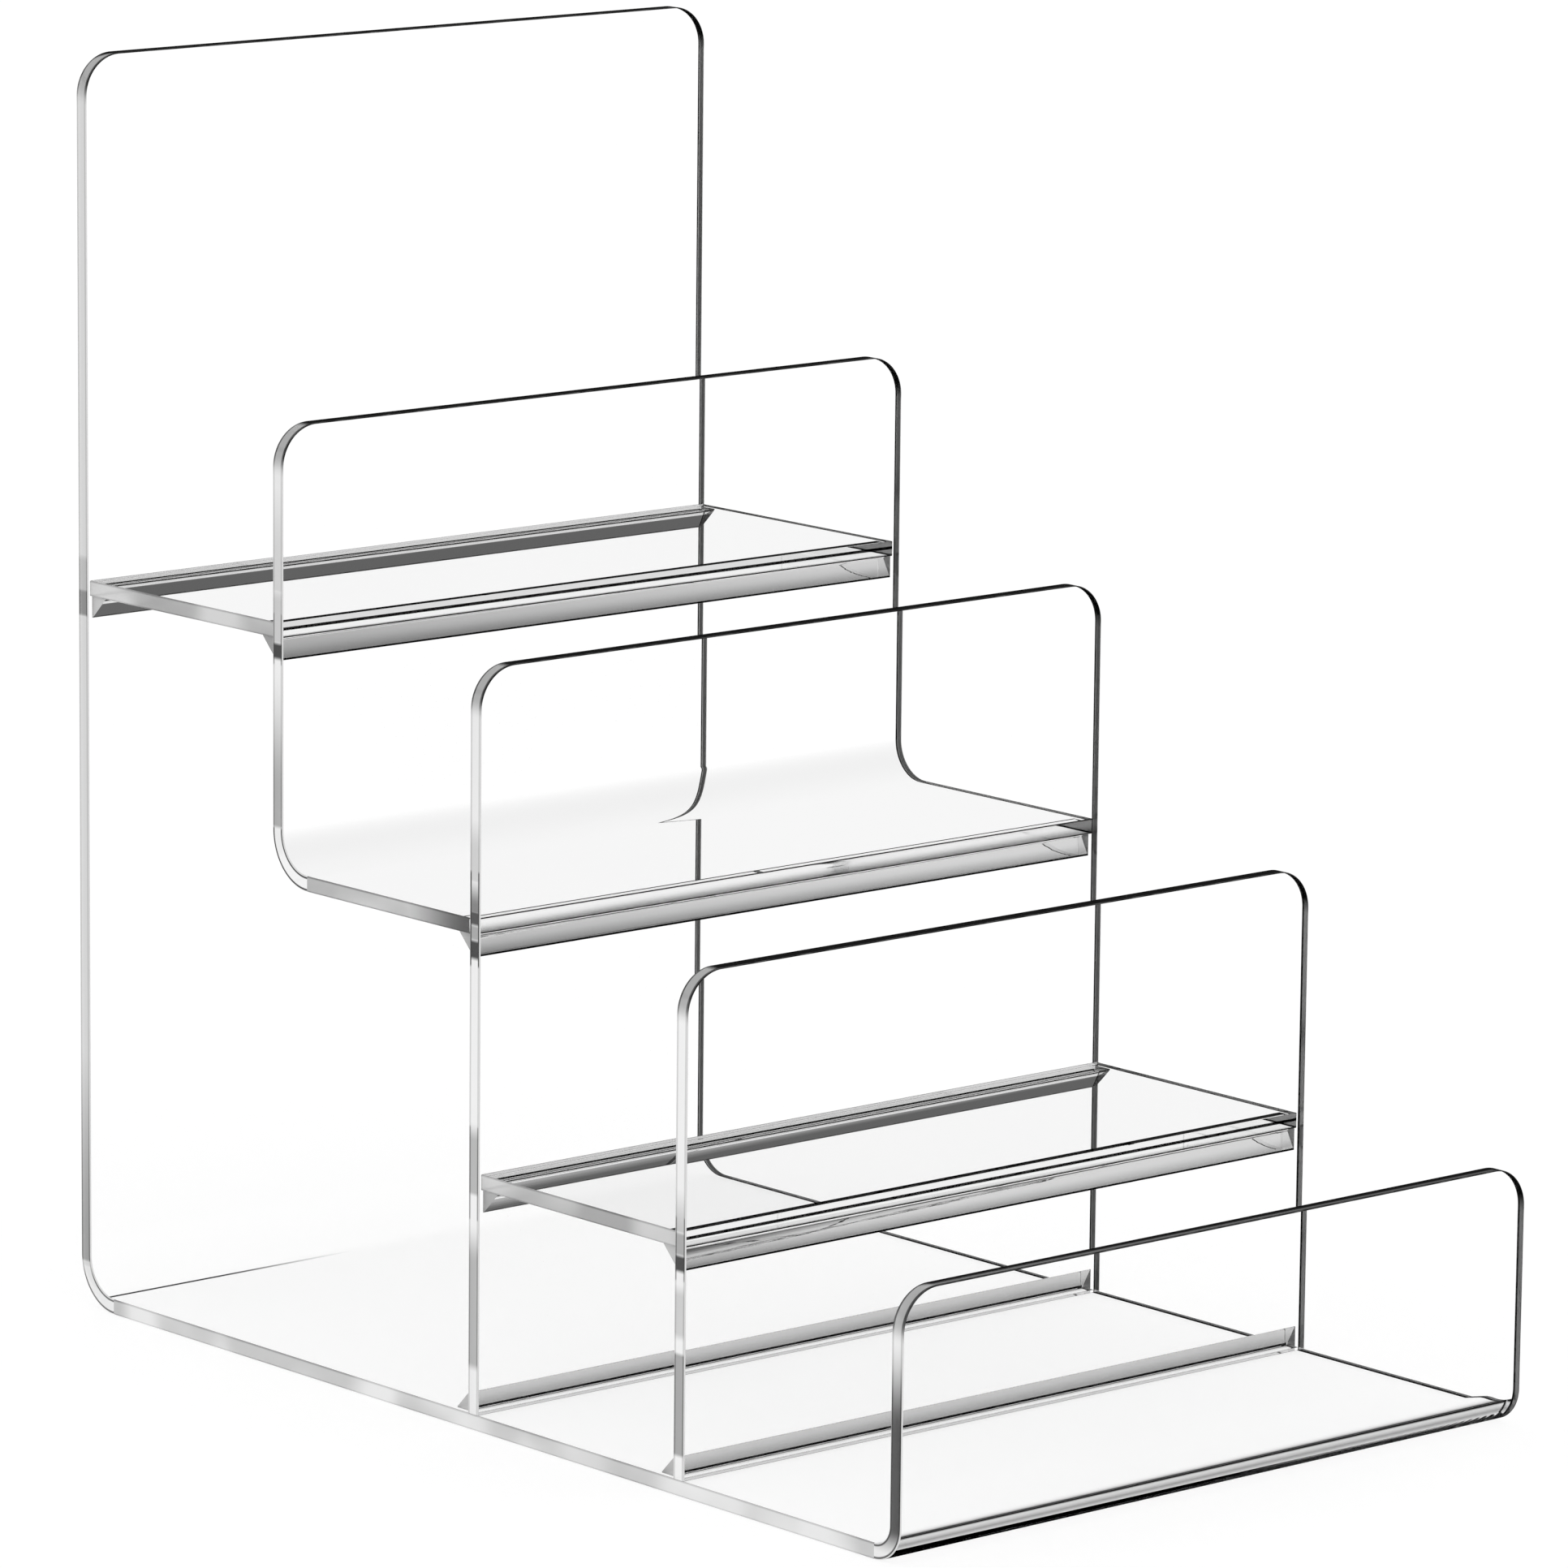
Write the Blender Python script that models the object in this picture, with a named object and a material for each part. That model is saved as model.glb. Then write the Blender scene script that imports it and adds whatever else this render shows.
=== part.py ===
"""Four-tier display riser of clear acrylic sheet.

One sheet is heat-bent into the back upright, the base and the front lip. A second sheet
is bent into the second upright and the floor of the middle tier. Two flat uprights and
two flat shelves stand between them, and triangular rods cemented into the inner corners
hold every shelf and the feet of both flat uprights.

The model stands on Z = 0, centred on X and Y. The front faces -Y and +X is to the right.
Lengths are in metres.
"""

import math

import bmesh
import bpy
from mathutils import Vector

MM = 0.001

# Driving dimensions
WIDTH = 155.0 * MM  # every sheet, from left to right
SHEET = 3.0 * MM  # thickness of the acrylic sheet
TIER_DEPTH = 59.0 * MM  # one upright's front face to the next, in the three lower tiers
TOP_TIER_DEPTH = 61.0 * MM  # the same for the top tier, which is slightly deeper
TIER_RISE = 47.0 * MM  # floor of one tier to the next, and the lip's height above the base
LOW_SHELF_DROP = 1.0 * MM  # the low shelf is cemented this far below the lip's top edge
SECOND_REST = 37.5 * MM  # second upright above the top shelf
BACK_REST = 101.5 * MM  # back upright above the top shelf
CORNER_RADIUS = 8.0 * MM  # rounded top corners of every upright and of the lip
BACK_BEND = 10.5 * MM  # outer radius of the bend between the back and the base
LIP_BEND = 7.0 * MM  # outer radius of the bend between the base and the lip
SECOND_BEND = 10.5 * MM  # outer radius of the bend at the second upright's foot
ROD_LEG = 4.5 * MM  # either short side of a triangular rod's section
SHELF_INSET = 0.5 * MM  # a flat shelf's end, inside the uprights' side edges
ROD_INSET = 1.0 * MM  # a rod's end, inside the same edges
CEMENT_GAP = 0.3 * MM  # film between two cemented faces
EDGE_BREAK = 0.25 * MM  # polished-off corner of a sheet's sawn edge
ROD_BREAK = 0.15 * MM  # the same on a rod

# How finely the round stretches are cut
BEND_STEPS = 24
CORNER_STEPS = 16
BREAK_ANGLE = math.radians(40.0)  # an edge sharper than this has its corner polished off
SMOOTH_ANGLE = math.radians(30.0)  # an edge flatter than this is shaded smooth

# Places that follow from the driving dimensions. A name ending in _front is a front face's Y.
DEPTH = 3 * TIER_DEPTH + TOP_TIER_DEPTH + SHEET
LIP_FRONT = -DEPTH / 2
FOURTH_FRONT = LIP_FRONT + TIER_DEPTH
THIRD_FRONT = FOURTH_FRONT + TIER_DEPTH
SECOND_FRONT = THIRD_FRONT + TIER_DEPTH
BACK_FRONT = SECOND_FRONT + TOP_TIER_DEPTH
LIP_TOP = SHEET + TIER_RISE
LOW_FLOOR = LIP_TOP - LOW_SHELF_DROP
MIDDLE_FLOOR = LIP_TOP + TIER_RISE
TOP_FLOOR = MIDDLE_FLOOR + TIER_RISE

# Finish of the two kinds of stock
ACRYLIC_IOR = 1.49
SHEET_TINT = (0.97, 0.98, 0.98, 1.0)
SHEET_ROUGHNESS = 0.02
ROD_TINT = (0.72, 0.74, 0.74, 1.0)
ROD_ROUGHNESS = 0.06


def clear_scene():
    """Empty the scene, so that the model starts from nothing."""
    for obj in list(bpy.data.objects):
        bpy.data.objects.remove(obj, do_unlink=True)


def acrylic(name, tint, roughness):
    """A clear polished acrylic."""
    material = bpy.data.materials.new(name)
    material.use_nodes = True
    shader = material.node_tree.nodes["Principled BSDF"]
    shader.inputs["Base Color"].default_value = tint
    shader.inputs["Roughness"].default_value = roughness
    shader.inputs["Metallic"].default_value = 0.0
    shader.inputs["IOR"].default_value = ACRYLIC_IOR
    shader.inputs["Transmission Weight"].default_value = 1.0
    return material


def arc(centre_y, centre_z, radius, start, sweep, steps=BEND_STEPS):
    """Points of a round stretch in the YZ plane; the angles are in degrees from +Y."""
    points = []
    for step in range(steps + 1):
        angle = math.radians(start + sweep * step / steps)
        points.append((centre_y + radius * math.cos(angle), centre_z + radius * math.sin(angle)))
    return points


def extrude_outline(name, outline, width):
    """A closed YZ outline drawn out along X, centred on X = 0."""
    bm = bmesh.new()
    ring = [bm.verts.new(Vector((-width / 2, y, z))) for y, z in outline]
    side = bm.faces.new(ring)
    grown = bmesh.ops.extrude_face_region(bm, geom=[side], use_keep_orig=True)
    moved = [item for item in grown["geom"] if isinstance(item, bmesh.types.BMVert)]
    bmesh.ops.translate(bm, verts=moved, vec=Vector((width, 0.0, 0.0)))
    bmesh.ops.recalc_face_normals(bm, faces=bm.faces)
    mesh = bpy.data.meshes.new(name)
    bm.to_mesh(mesh)
    bm.free()
    return mesh


def round_top_corners(mesh, top, width):
    """Round the two corners of an upright whose top edge is at the height given."""
    bm = bmesh.new()
    bm.from_mesh(mesh)
    reach = 0.01 * MM

    def at_corner(vert):
        return abs(vert.co.z - top) < reach and abs(abs(vert.co.x) - width / 2) < reach

    corners = [
        edge
        for edge in bm.edges
        if all(at_corner(vert) for vert in edge.verts)
        and abs(edge.verts[0].co.x - edge.verts[1].co.x) < reach
    ]
    bmesh.ops.bevel(
        bm,
        geom=corners,
        offset=CORNER_RADIUS,
        offset_type="OFFSET",
        segments=CORNER_STEPS,
        profile=0.5,
        affect="EDGES",
    )
    bm.to_mesh(mesh)
    bm.free()


def finish_piece(name, mesh, material, edge_break):
    """Place the piece, break its sawn edges and shade its bends smooth."""
    mesh.materials.append(material)
    piece = bpy.data.objects.new(name, mesh)
    bpy.context.scene.collection.objects.link(piece)
    bevel = piece.modifiers.new("edge_break", "BEVEL")
    bevel.width = edge_break
    bevel.segments = 1
    bevel.limit_method = "ANGLE"
    bevel.angle_limit = BREAK_ANGLE
    bevel.use_clamp_overlap = True
    mesh.shade_smooth()
    mesh.set_sharp_from_angle(angle=SMOOTH_ANGLE)
    return piece


def back_base_lip(material):
    """The main sheet: back upright, base and front lip, bent from one piece."""
    rear = DEPTH / 2
    back_top = TOP_FLOOR + BACK_REST
    inner_back = BACK_BEND - SHEET
    inner_lip = LIP_BEND - SHEET
    back_centre = rear - BACK_BEND
    lip_centre = LIP_FRONT + LIP_BEND
    outline = [(rear, back_top)]
    outline += arc(back_centre, BACK_BEND, BACK_BEND, 0.0, -90.0)
    outline += arc(lip_centre, LIP_BEND, LIP_BEND, -90.0, -90.0)
    outline += [(LIP_FRONT, LIP_TOP), (LIP_FRONT + SHEET, LIP_TOP)]
    outline += arc(lip_centre, LIP_BEND, inner_lip, 180.0, 90.0)
    outline += arc(back_centre, BACK_BEND, inner_back, -90.0, 90.0)
    outline += [(rear - SHEET, back_top)]
    mesh = extrude_outline("back_base_lip", outline, WIDTH)
    round_top_corners(mesh, back_top, WIDTH)
    round_top_corners(mesh, LIP_TOP, WIDTH)
    return finish_piece("back_base_lip", mesh, material, EDGE_BREAK)


def second_upright_shelf(material):
    """The second sheet: an upright that turns forward into the middle tier's floor."""
    top = TOP_FLOOR + SECOND_REST
    rear = SECOND_FRONT + SHEET
    under = MIDDLE_FLOOR - SHEET
    inner = SECOND_BEND - SHEET
    bend_centre = (rear - SECOND_BEND, under + SECOND_BEND)
    shelf_end = THIRD_FRONT + SHEET + CEMENT_GAP
    outline = [(rear, top)]
    outline += arc(*bend_centre, SECOND_BEND, 0.0, -90.0)
    outline += [(shelf_end, under), (shelf_end, MIDDLE_FLOOR)]
    outline += arc(*bend_centre, inner, -90.0, 90.0)
    outline += [(SECOND_FRONT, top)]
    mesh = extrude_outline("second_upright_shelf", outline, WIDTH)
    round_top_corners(mesh, top, WIDTH)
    return finish_piece("second_upright_shelf", mesh, material, EDGE_BREAK)


def flat_upright(name, front, top, material):
    """A flat upright that stands on the base."""
    foot = SHEET + CEMENT_GAP
    rear = front + SHEET
    outline = [(front, foot), (rear, foot), (rear, top), (front, top)]
    mesh = extrude_outline(name, outline, WIDTH)
    round_top_corners(mesh, top, WIDTH)
    return finish_piece(name, mesh, material, EDGE_BREAK)


def flat_shelf(name, front, rear, floor, material):
    """A flat shelf that fills the space between two uprights' facing sides."""
    front_end = front + CEMENT_GAP
    rear_end = rear - CEMENT_GAP
    under = floor - SHEET
    outline = [(front_end, under), (rear_end, under), (rear_end, floor), (front_end, floor)]
    mesh = extrude_outline(name, outline, WIDTH - 2 * SHELF_INSET)
    return finish_piece(name, mesh, material, EDGE_BREAK)


def corner_rod(name, wall, side, flat, direction, material):
    """A triangular rod in the corner between an upright and a floor.

    wall is the upright's face and side the way from it to the rod, +1 for back and -1 for
    front. flat is the floor's face and direction the way from it to the rod, +1 for up.
    """
    corner_y = wall + side * CEMENT_GAP
    corner_z = flat + direction * CEMENT_GAP
    outline = [
        (corner_y, corner_z),
        (corner_y + side * ROD_LEG, corner_z),
        (corner_y, corner_z + direction * ROD_LEG),
    ]
    mesh = extrude_outline(name, outline, WIDTH - 2 * ROD_INSET)
    return finish_piece(name, mesh, material, ROD_BREAK)


def build():
    """Model the whole riser, one object for each piece."""
    clear_scene()
    sheet = acrylic("clear_sheet", SHEET_TINT, SHEET_ROUGHNESS)
    rod = acrylic("clear_rod", ROD_TINT, ROD_ROUGHNESS)

    back_base_lip(sheet)
    second_upright_shelf(sheet)
    flat_upright("third_upright", THIRD_FRONT, TOP_FLOOR, sheet)
    flat_upright("fourth_upright", FOURTH_FRONT, MIDDLE_FLOOR, sheet)

    second_rear = SECOND_FRONT + SHEET
    third_rear = THIRD_FRONT + SHEET
    fourth_rear = FOURTH_FRONT + SHEET
    flat_shelf("top_shelf", second_rear, BACK_FRONT, TOP_FLOOR, sheet)
    flat_shelf("low_shelf", fourth_rear, THIRD_FRONT, LOW_FLOOR, sheet)

    under_top = TOP_FLOOR - SHEET
    under_middle = MIDDLE_FLOOR - SHEET
    under_low = LOW_FLOOR - SHEET
    corner_rod("top_shelf_rear_rod", BACK_FRONT, -1, under_top, -1, rod)
    corner_rod("top_shelf_front_rod", second_rear, 1, under_top, -1, rod)
    corner_rod("middle_shelf_front_rod", third_rear, 1, under_middle, -1, rod)
    corner_rod("low_shelf_rear_rod", THIRD_FRONT, -1, under_low, -1, rod)
    corner_rod("low_shelf_front_rod", fourth_rear, 1, under_low, -1, rod)
    corner_rod("third_upright_foot_rod", third_rear, 1, SHEET, 1, rod)
    corner_rod("fourth_upright_foot_rod", fourth_rear, 1, SHEET, 1, rod)


build()
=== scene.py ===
"""Looks of the clear acrylic display riser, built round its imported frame.

Every sheet is made as the real one is: a flat blank with rounded corners and polished-off
edges, then bent to shape along heated lines. Triangular rods brace the inner corners.
Lengths are in metres, +Z is up, and the front of the riser faces -Y.
"""

import logging
import math
from dataclasses import dataclass, replace
from enum import Enum

import bmesh
import bpy
from mathutils import Matrix, Vector


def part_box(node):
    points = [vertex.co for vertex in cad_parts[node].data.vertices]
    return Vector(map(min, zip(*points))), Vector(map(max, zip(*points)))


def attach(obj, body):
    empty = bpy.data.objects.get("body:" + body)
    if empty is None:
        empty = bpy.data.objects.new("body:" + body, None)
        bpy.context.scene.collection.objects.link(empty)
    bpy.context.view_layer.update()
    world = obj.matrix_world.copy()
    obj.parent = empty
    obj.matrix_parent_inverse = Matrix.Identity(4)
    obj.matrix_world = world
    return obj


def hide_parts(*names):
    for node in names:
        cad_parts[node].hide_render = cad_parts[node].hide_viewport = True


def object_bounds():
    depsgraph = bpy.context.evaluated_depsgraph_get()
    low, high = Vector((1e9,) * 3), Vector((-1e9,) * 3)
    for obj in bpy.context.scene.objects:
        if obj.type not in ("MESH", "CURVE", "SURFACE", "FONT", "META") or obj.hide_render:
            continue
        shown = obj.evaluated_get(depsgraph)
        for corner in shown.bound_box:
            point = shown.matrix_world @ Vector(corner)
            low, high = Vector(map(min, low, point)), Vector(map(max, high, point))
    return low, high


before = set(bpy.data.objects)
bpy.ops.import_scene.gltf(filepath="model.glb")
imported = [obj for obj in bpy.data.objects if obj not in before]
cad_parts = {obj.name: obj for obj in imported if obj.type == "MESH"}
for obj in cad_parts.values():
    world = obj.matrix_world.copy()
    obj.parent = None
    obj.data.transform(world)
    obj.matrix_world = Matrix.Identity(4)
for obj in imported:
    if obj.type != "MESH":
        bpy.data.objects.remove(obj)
CAD_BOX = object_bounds()

LOG = logging.getLogger("riser")
MM = 0.001
ROOT_BODY = "root"
RIGHT_ANGLE = math.radians(90.0)
CRISP_ANGLE = math.radians(50.0)
ACRYLIC_IOR = 1.49
FAR = 1.0  # farther along a blank than any of its points
NO_BOUNCE = 0.5  # a ray counts its bounces in whole numbers, so less than this is none
BROAD_FACE = 0.999  # how far a normal has to point along an axis for its face to lie square to it
NO_LEAN = 0.001
PEAK_GAIN = 4.0  # brings the peak of a share times its remainder to 1
NUMBER = "NodeSocketFloat"
VECTOR = "NodeSocketVector"
GEOMETRY = "NodeSocketGeometry"
FINISH = "NodeSocketMaterial"


class Wiring:
    """Adds nodes to one node tree and joins their sockets."""

    def __init__(self, tree: bpy.types.NodeTree) -> None:
        """Works on one tree.

        Args:
            tree: The tree that the nodes go into.
        """
        self.tree = tree

    def feed(self, socket: bpy.types.NodeSocket, value: object) -> None:
        """Links a socket to another one, or sets its value.

        Args:
            socket: The input to feed.
            value: An output socket, or a plain value.
        """
        if isinstance(value, bpy.types.NodeSocket):
            self.tree.links.new(value, socket)
        else:
            socket.default_value = value

    def fill(self, node: bpy.types.Node, inputs: dict[str | int, object]) -> bpy.types.Node:
        """Feeds several inputs of a node.

        Args:
            node: The node.
            inputs: What goes into its inputs, by their names or places.

        Returns:
            The same node.
        """
        for key, value in inputs.items():
            self.feed(node.inputs[key], value)
        return node

    def node(
        self, kind: str, inputs: dict[str | int, object] | None = None, **settings: object
    ) -> bpy.types.Node:
        """Adds a node.

        Args:
            kind: The node's type name.
            inputs: What goes into its inputs, by their names or places.
            settings: Values for the node's own properties.

        Returns:
            The new node.
        """
        made = self.tree.nodes.new(kind)
        for key, value in settings.items():
            setattr(made, key, value)
        return self.fill(made, inputs or {})

    def math(self, operation: str, *values: object) -> bpy.types.NodeSocket:
        """Adds a Math node.

        Args:
            operation: The node's operation.
            values: What goes into its inputs, in order.

        Returns:
            The node's output.
        """
        return self.node("ShaderNodeMath", dict(enumerate(values)), operation=operation).outputs[0]

    def times(self, first: object, *others: object) -> object:
        """Returns the product of some numbers."""
        for other in others:
            first = self.math("MULTIPLY", first, other)
        return first

    def largest(self, first: object, *others: object) -> object:
        """Returns the largest of some numbers."""
        for other in others:
            first = self.math("MAXIMUM", first, other)
        return first

    def above(self, value: object, limit: object) -> bpy.types.NodeSocket:
        """Returns 1 where a value is above a limit, else 0."""
        return self.math("GREATER_THAN", value, limit)

    def below(self, value: object, limit: object) -> bpy.types.NodeSocket:
        """Returns 1 where a value is below a limit, else 0."""
        return self.math("LESS_THAN", value, limit)

    def less(self, value: object, taken: object) -> bpy.types.NodeSocket:
        """Returns a value less another one."""
        return self.math("SUBTRACT", value, taken)

    def unsigned(self, value: object) -> bpy.types.NodeSocket:
        """Returns a value without its sign."""
        return self.math("ABSOLUTE", value)

    def fade(self, value: object, start: float, end: float) -> bpy.types.NodeSocket:
        """Rises smoothly from 0 to 1 while a value goes from one number to another.

        Args:
            value: The value that is looked at.
            start: Where the rise begins.
            end: Where it is complete.

        Returns:
            The number from 0 to 1.
        """
        inputs = {"Value": value, "From Min": start, "From Max": end}
        return self.node("ShaderNodeMapRange", inputs, interpolation_type="SMOOTHSTEP").outputs[0]

    def blend(self, factor: object, low: object, high: object, kind: str = "MIX") -> bpy.types.NodeSocket:
        """Mixes two colours.

        Args:
            factor: How much of the second colour shows.
            low: The first colour.
            high: The second colour.
            kind: The way they are mixed.

        Returns:
            The mixed colour.
        """
        made = self.node("ShaderNodeMix", {0: factor}, data_type="RGBA", blend_type=kind)
        colours = [socket for socket in made.inputs if socket.type == "RGBA"]
        self.feed(colours[0], low)
        self.feed(colours[1], high)
        return next(socket for socket in made.outputs if socket.type == "RGBA")

    def axes(self, vector: bpy.types.NodeSocket) -> bpy.types.bpy_prop_collection:
        """Returns a vector's parts, by the names X, Y and Z."""
        return self.node("ShaderNodeSeparateXYZ", {0: vector}).outputs

    def vector(self, **parts: object) -> bpy.types.NodeSocket:
        """Returns a vector, given its parts by the names X, Y and Z; a part left out is 0."""
        return self.node("ShaderNodeCombineXYZ", parts).outputs[0]

    def place(self) -> bpy.types.bpy_prop_collection:
        """Returns, in a material, the parts of a point's place on its object."""
        return self.axes(self.node("ShaderNodeTexCoord").outputs["Object"])

    def position(self) -> bpy.types.bpy_prop_collection:
        """Returns, in a geometry tree, the parts of a point's place."""
        return self.axes(self.node("GeometryNodeInputPosition").outputs[0])

    def normal(self) -> bpy.types.bpy_prop_collection:
        """Returns, in a geometry tree, the parts of the way a face looks."""
        return self.axes(self.node("GeometryNodeInputNormal").outputs[0])

    def mark(self, name: str) -> bpy.types.NodeSocket:
        """Returns, in a geometry tree, a number stored on the geometry."""
        made = self.node("GeometryNodeInputNamedAttribute", {"Name": name}, data_type="FLOAT")
        return made.outputs[0]

    def painted(self, name: str) -> bpy.types.NodeSocket:
        """Returns, in a material, a number stored on the mesh."""
        return self.node("ShaderNodeAttribute", attribute_name=name).outputs["Fac"]

    def bounces(self, kind: str) -> bpy.types.NodeSocket:
        """Returns, in a material, how many bounces of one kind a ray has had."""
        return self.node("ShaderNodeLightPath").outputs[f"{kind} Depth"]

    def had(self, kind: str) -> bpy.types.NodeSocket:
        """Returns, in a material, 1 for a ray that has had a bounce of that kind, else 0."""
        return self.above(self.bounces(kind), NO_BOUNCE)

    def had_no(self, kind: str) -> bpy.types.NodeSocket:
        """Returns, in a material, 1 for a ray that has had no bounce of that kind, else 0."""
        return self.below(self.bounces(kind), NO_BOUNCE)

    def noise(self, place: object, scale: object, detail: float) -> bpy.types.NodeSocket:
        """Returns, in a material, a soft noise pattern round 0.5."""
        inputs = {"Vector": place, "Scale": scale, "Detail": detail}
        return self.node("ShaderNodeTexNoise", inputs).outputs[0]

    def store(
        self, geometry: bpy.types.NodeSocket, name: str, value: object, domain: str = "FACE"
    ) -> bpy.types.NodeSocket:
        """Stores a number on the geometry.

        Args:
            geometry: The geometry.
            name: The stored attribute's name.
            value: The number.
            domain: Whether it belongs to a face or to a point.

        Returns:
            The geometry with the number.
        """
        inputs = {"Geometry": geometry, "Name": name, "Value": value}
        made = self.node("GeometryNodeStoreNamedAttribute", inputs, data_type="FLOAT", domain=domain)
        return made.outputs["Geometry"]

    def dress(
        self, geometry: bpy.types.NodeSocket, finish: bpy.types.NodeSocket, chosen: object = True
    ) -> bpy.types.NodeSocket:
        """Gives faces a finish.

        Args:
            geometry: The geometry.
            finish: The finish.
            chosen: The faces that take it.

        Returns:
            The dressed geometry.
        """
        inputs = {"Geometry": geometry, "Selection": chosen, "Material": finish}
        return self.node("GeometryNodeSetMaterial", inputs).outputs["Geometry"]

    def relief(self, height: bpy.types.NodeSocket, depth: float) -> bpy.types.NodeSocket:
        """Returns, in a material, the normal of a fine relief of that depth."""
        inputs = {"Strength": 1.0, "Distance": depth, "Height": height}
        return self.node("ShaderNodeBump", inputs).outputs[0]

    def mix(self, factor: object, first: bpy.types.Node, second: bpy.types.Node) -> bpy.types.Node:
        """Mixes two shaders.

        Args:
            factor: How much of the second shader shows.
            first: The first shader.
            second: The second shader.

        Returns:
            The mixed shader.
        """
        return self.node("ShaderNodeMixShader", {0: factor, 1: first.outputs[0], 2: second.outputs[0]})

    def show(self, shader: bpy.types.Node) -> None:
        """Makes a shader the one that the material shows."""
        self.feed(self.tree.nodes["Material Output"].inputs["Surface"], shader.outputs[0])


def grey(level: float) -> tuple[float, float, float, float]:
    """Returns an opaque neutral colour of that level."""
    return (level, level, level, 1.0)


def new_material(name: str) -> tuple[bpy.types.Material, Wiring, bpy.types.Node]:
    """Starts a material.

    Args:
        name: The material's name.

    Returns:
        The material, the wiring of its tree and its Principled shader.
    """
    material = bpy.data.materials.new(name)
    material.use_nodes = True
    wiring = Wiring(material.node_tree)
    return material, wiring, material.node_tree.nodes["Principled BSDF"]


def new_shader_group(name: str, inputs: dict[str, object], outputs: tuple[str, str]) -> bpy.types.NodeTree:
    """Starts a shader node group with named sockets.

    Args:
        name: The group's name.
        inputs: The usual value of each input, by its name.
        outputs: The names of its outputs, which are numbers.

    Returns:
        The group, without nodes.
    """
    group = bpy.data.node_groups.new(name, "ShaderNodeTree")
    for label, usual in inputs.items():
        kind = VECTOR if isinstance(usual, tuple) else NUMBER
        socket = group.interface.new_socket(label, in_out="INPUT", socket_type=kind)
        socket.default_value = usual
    for label in outputs:
        group.interface.new_socket(label, in_out="OUTPUT", socket_type=NUMBER)
    return group


class Effects:
    """The shader node groups that several finishes share."""

    SMUDGE_DETAIL = 4.0
    SMUDGE_START = 0.5
    SMUDGE_SOFTNESS = 0.1
    SMUDGE_GAIN = 4.0
    STREAK_DETAIL = 3.0
    DRIFT_DETAIL = 1.0

    def __init__(self) -> None:
        """Builds each group once."""
        self.handling = self.handling_group()
        self.streaks = self.streaks_group()

    def handling_group(self) -> bpy.types.NodeTree:
        """Builds the marks that handling leaves.

        Returns:
            A group that puts out soft smudges and small specks of dust.
        """
        usual = {"Smudge Scale": 18.0, "Speck Scale": 900.0, "Speck Cover": 0.06}
        group = new_shader_group("handling_marks", usual, ("Smudge", "Speck"))
        wiring = Wiring(group)
        given = wiring.node("NodeGroupInput").outputs
        place = wiring.node("ShaderNodeTexCoord").outputs["Object"]
        cloud = wiring.noise(place, given["Smudge Scale"], self.SMUDGE_DETAIL)
        cloud = wiring.less(cloud, self.SMUDGE_START)
        smudge = wiring.math("SMOOTH_MAX", cloud, 0.0, self.SMUDGE_SOFTNESS)
        cells = wiring.node("ShaderNodeTexVoronoi", {"Vector": place, "Scale": given["Speck Scale"]})
        speck = wiring.below(cells.outputs["Distance"], given["Speck Cover"])
        wiring.node("NodeGroupOutput", {"Smudge": wiring.times(smudge, self.SMUDGE_GAIN), "Speck": speck})
        return group

    def streaks_group(self) -> bpy.types.NodeTree:
        """Builds fine streaks that run one way, as a saw, a die or a polishing wheel leaves.

        Returns:
            A group that puts out the streaks, and a slow drift that varies the painted shade of the edges
            along them.
        """
        usual = {"Stretch": (1.0, 1.0, 1.0), "Drift Scale": 9.0}
        group = new_shader_group("tool_streaks", usual, ("Streak", "Drift"))
        wiring = Wiring(group)
        given = wiring.node("NodeGroupInput").outputs
        place = wiring.node("ShaderNodeTexCoord").outputs["Object"]
        scaled = wiring.node("ShaderNodeVectorMath", {0: place, 1: given["Stretch"]}, operation="MULTIPLY")
        streak = wiring.noise(scaled.outputs[0], 1.0, self.STREAK_DETAIL)
        drift = wiring.noise(place, given["Drift Scale"], self.DRIFT_DETAIL)
        wiring.node("NodeGroupOutput", {"Streak": streak, "Drift": drift})
        return group


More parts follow.
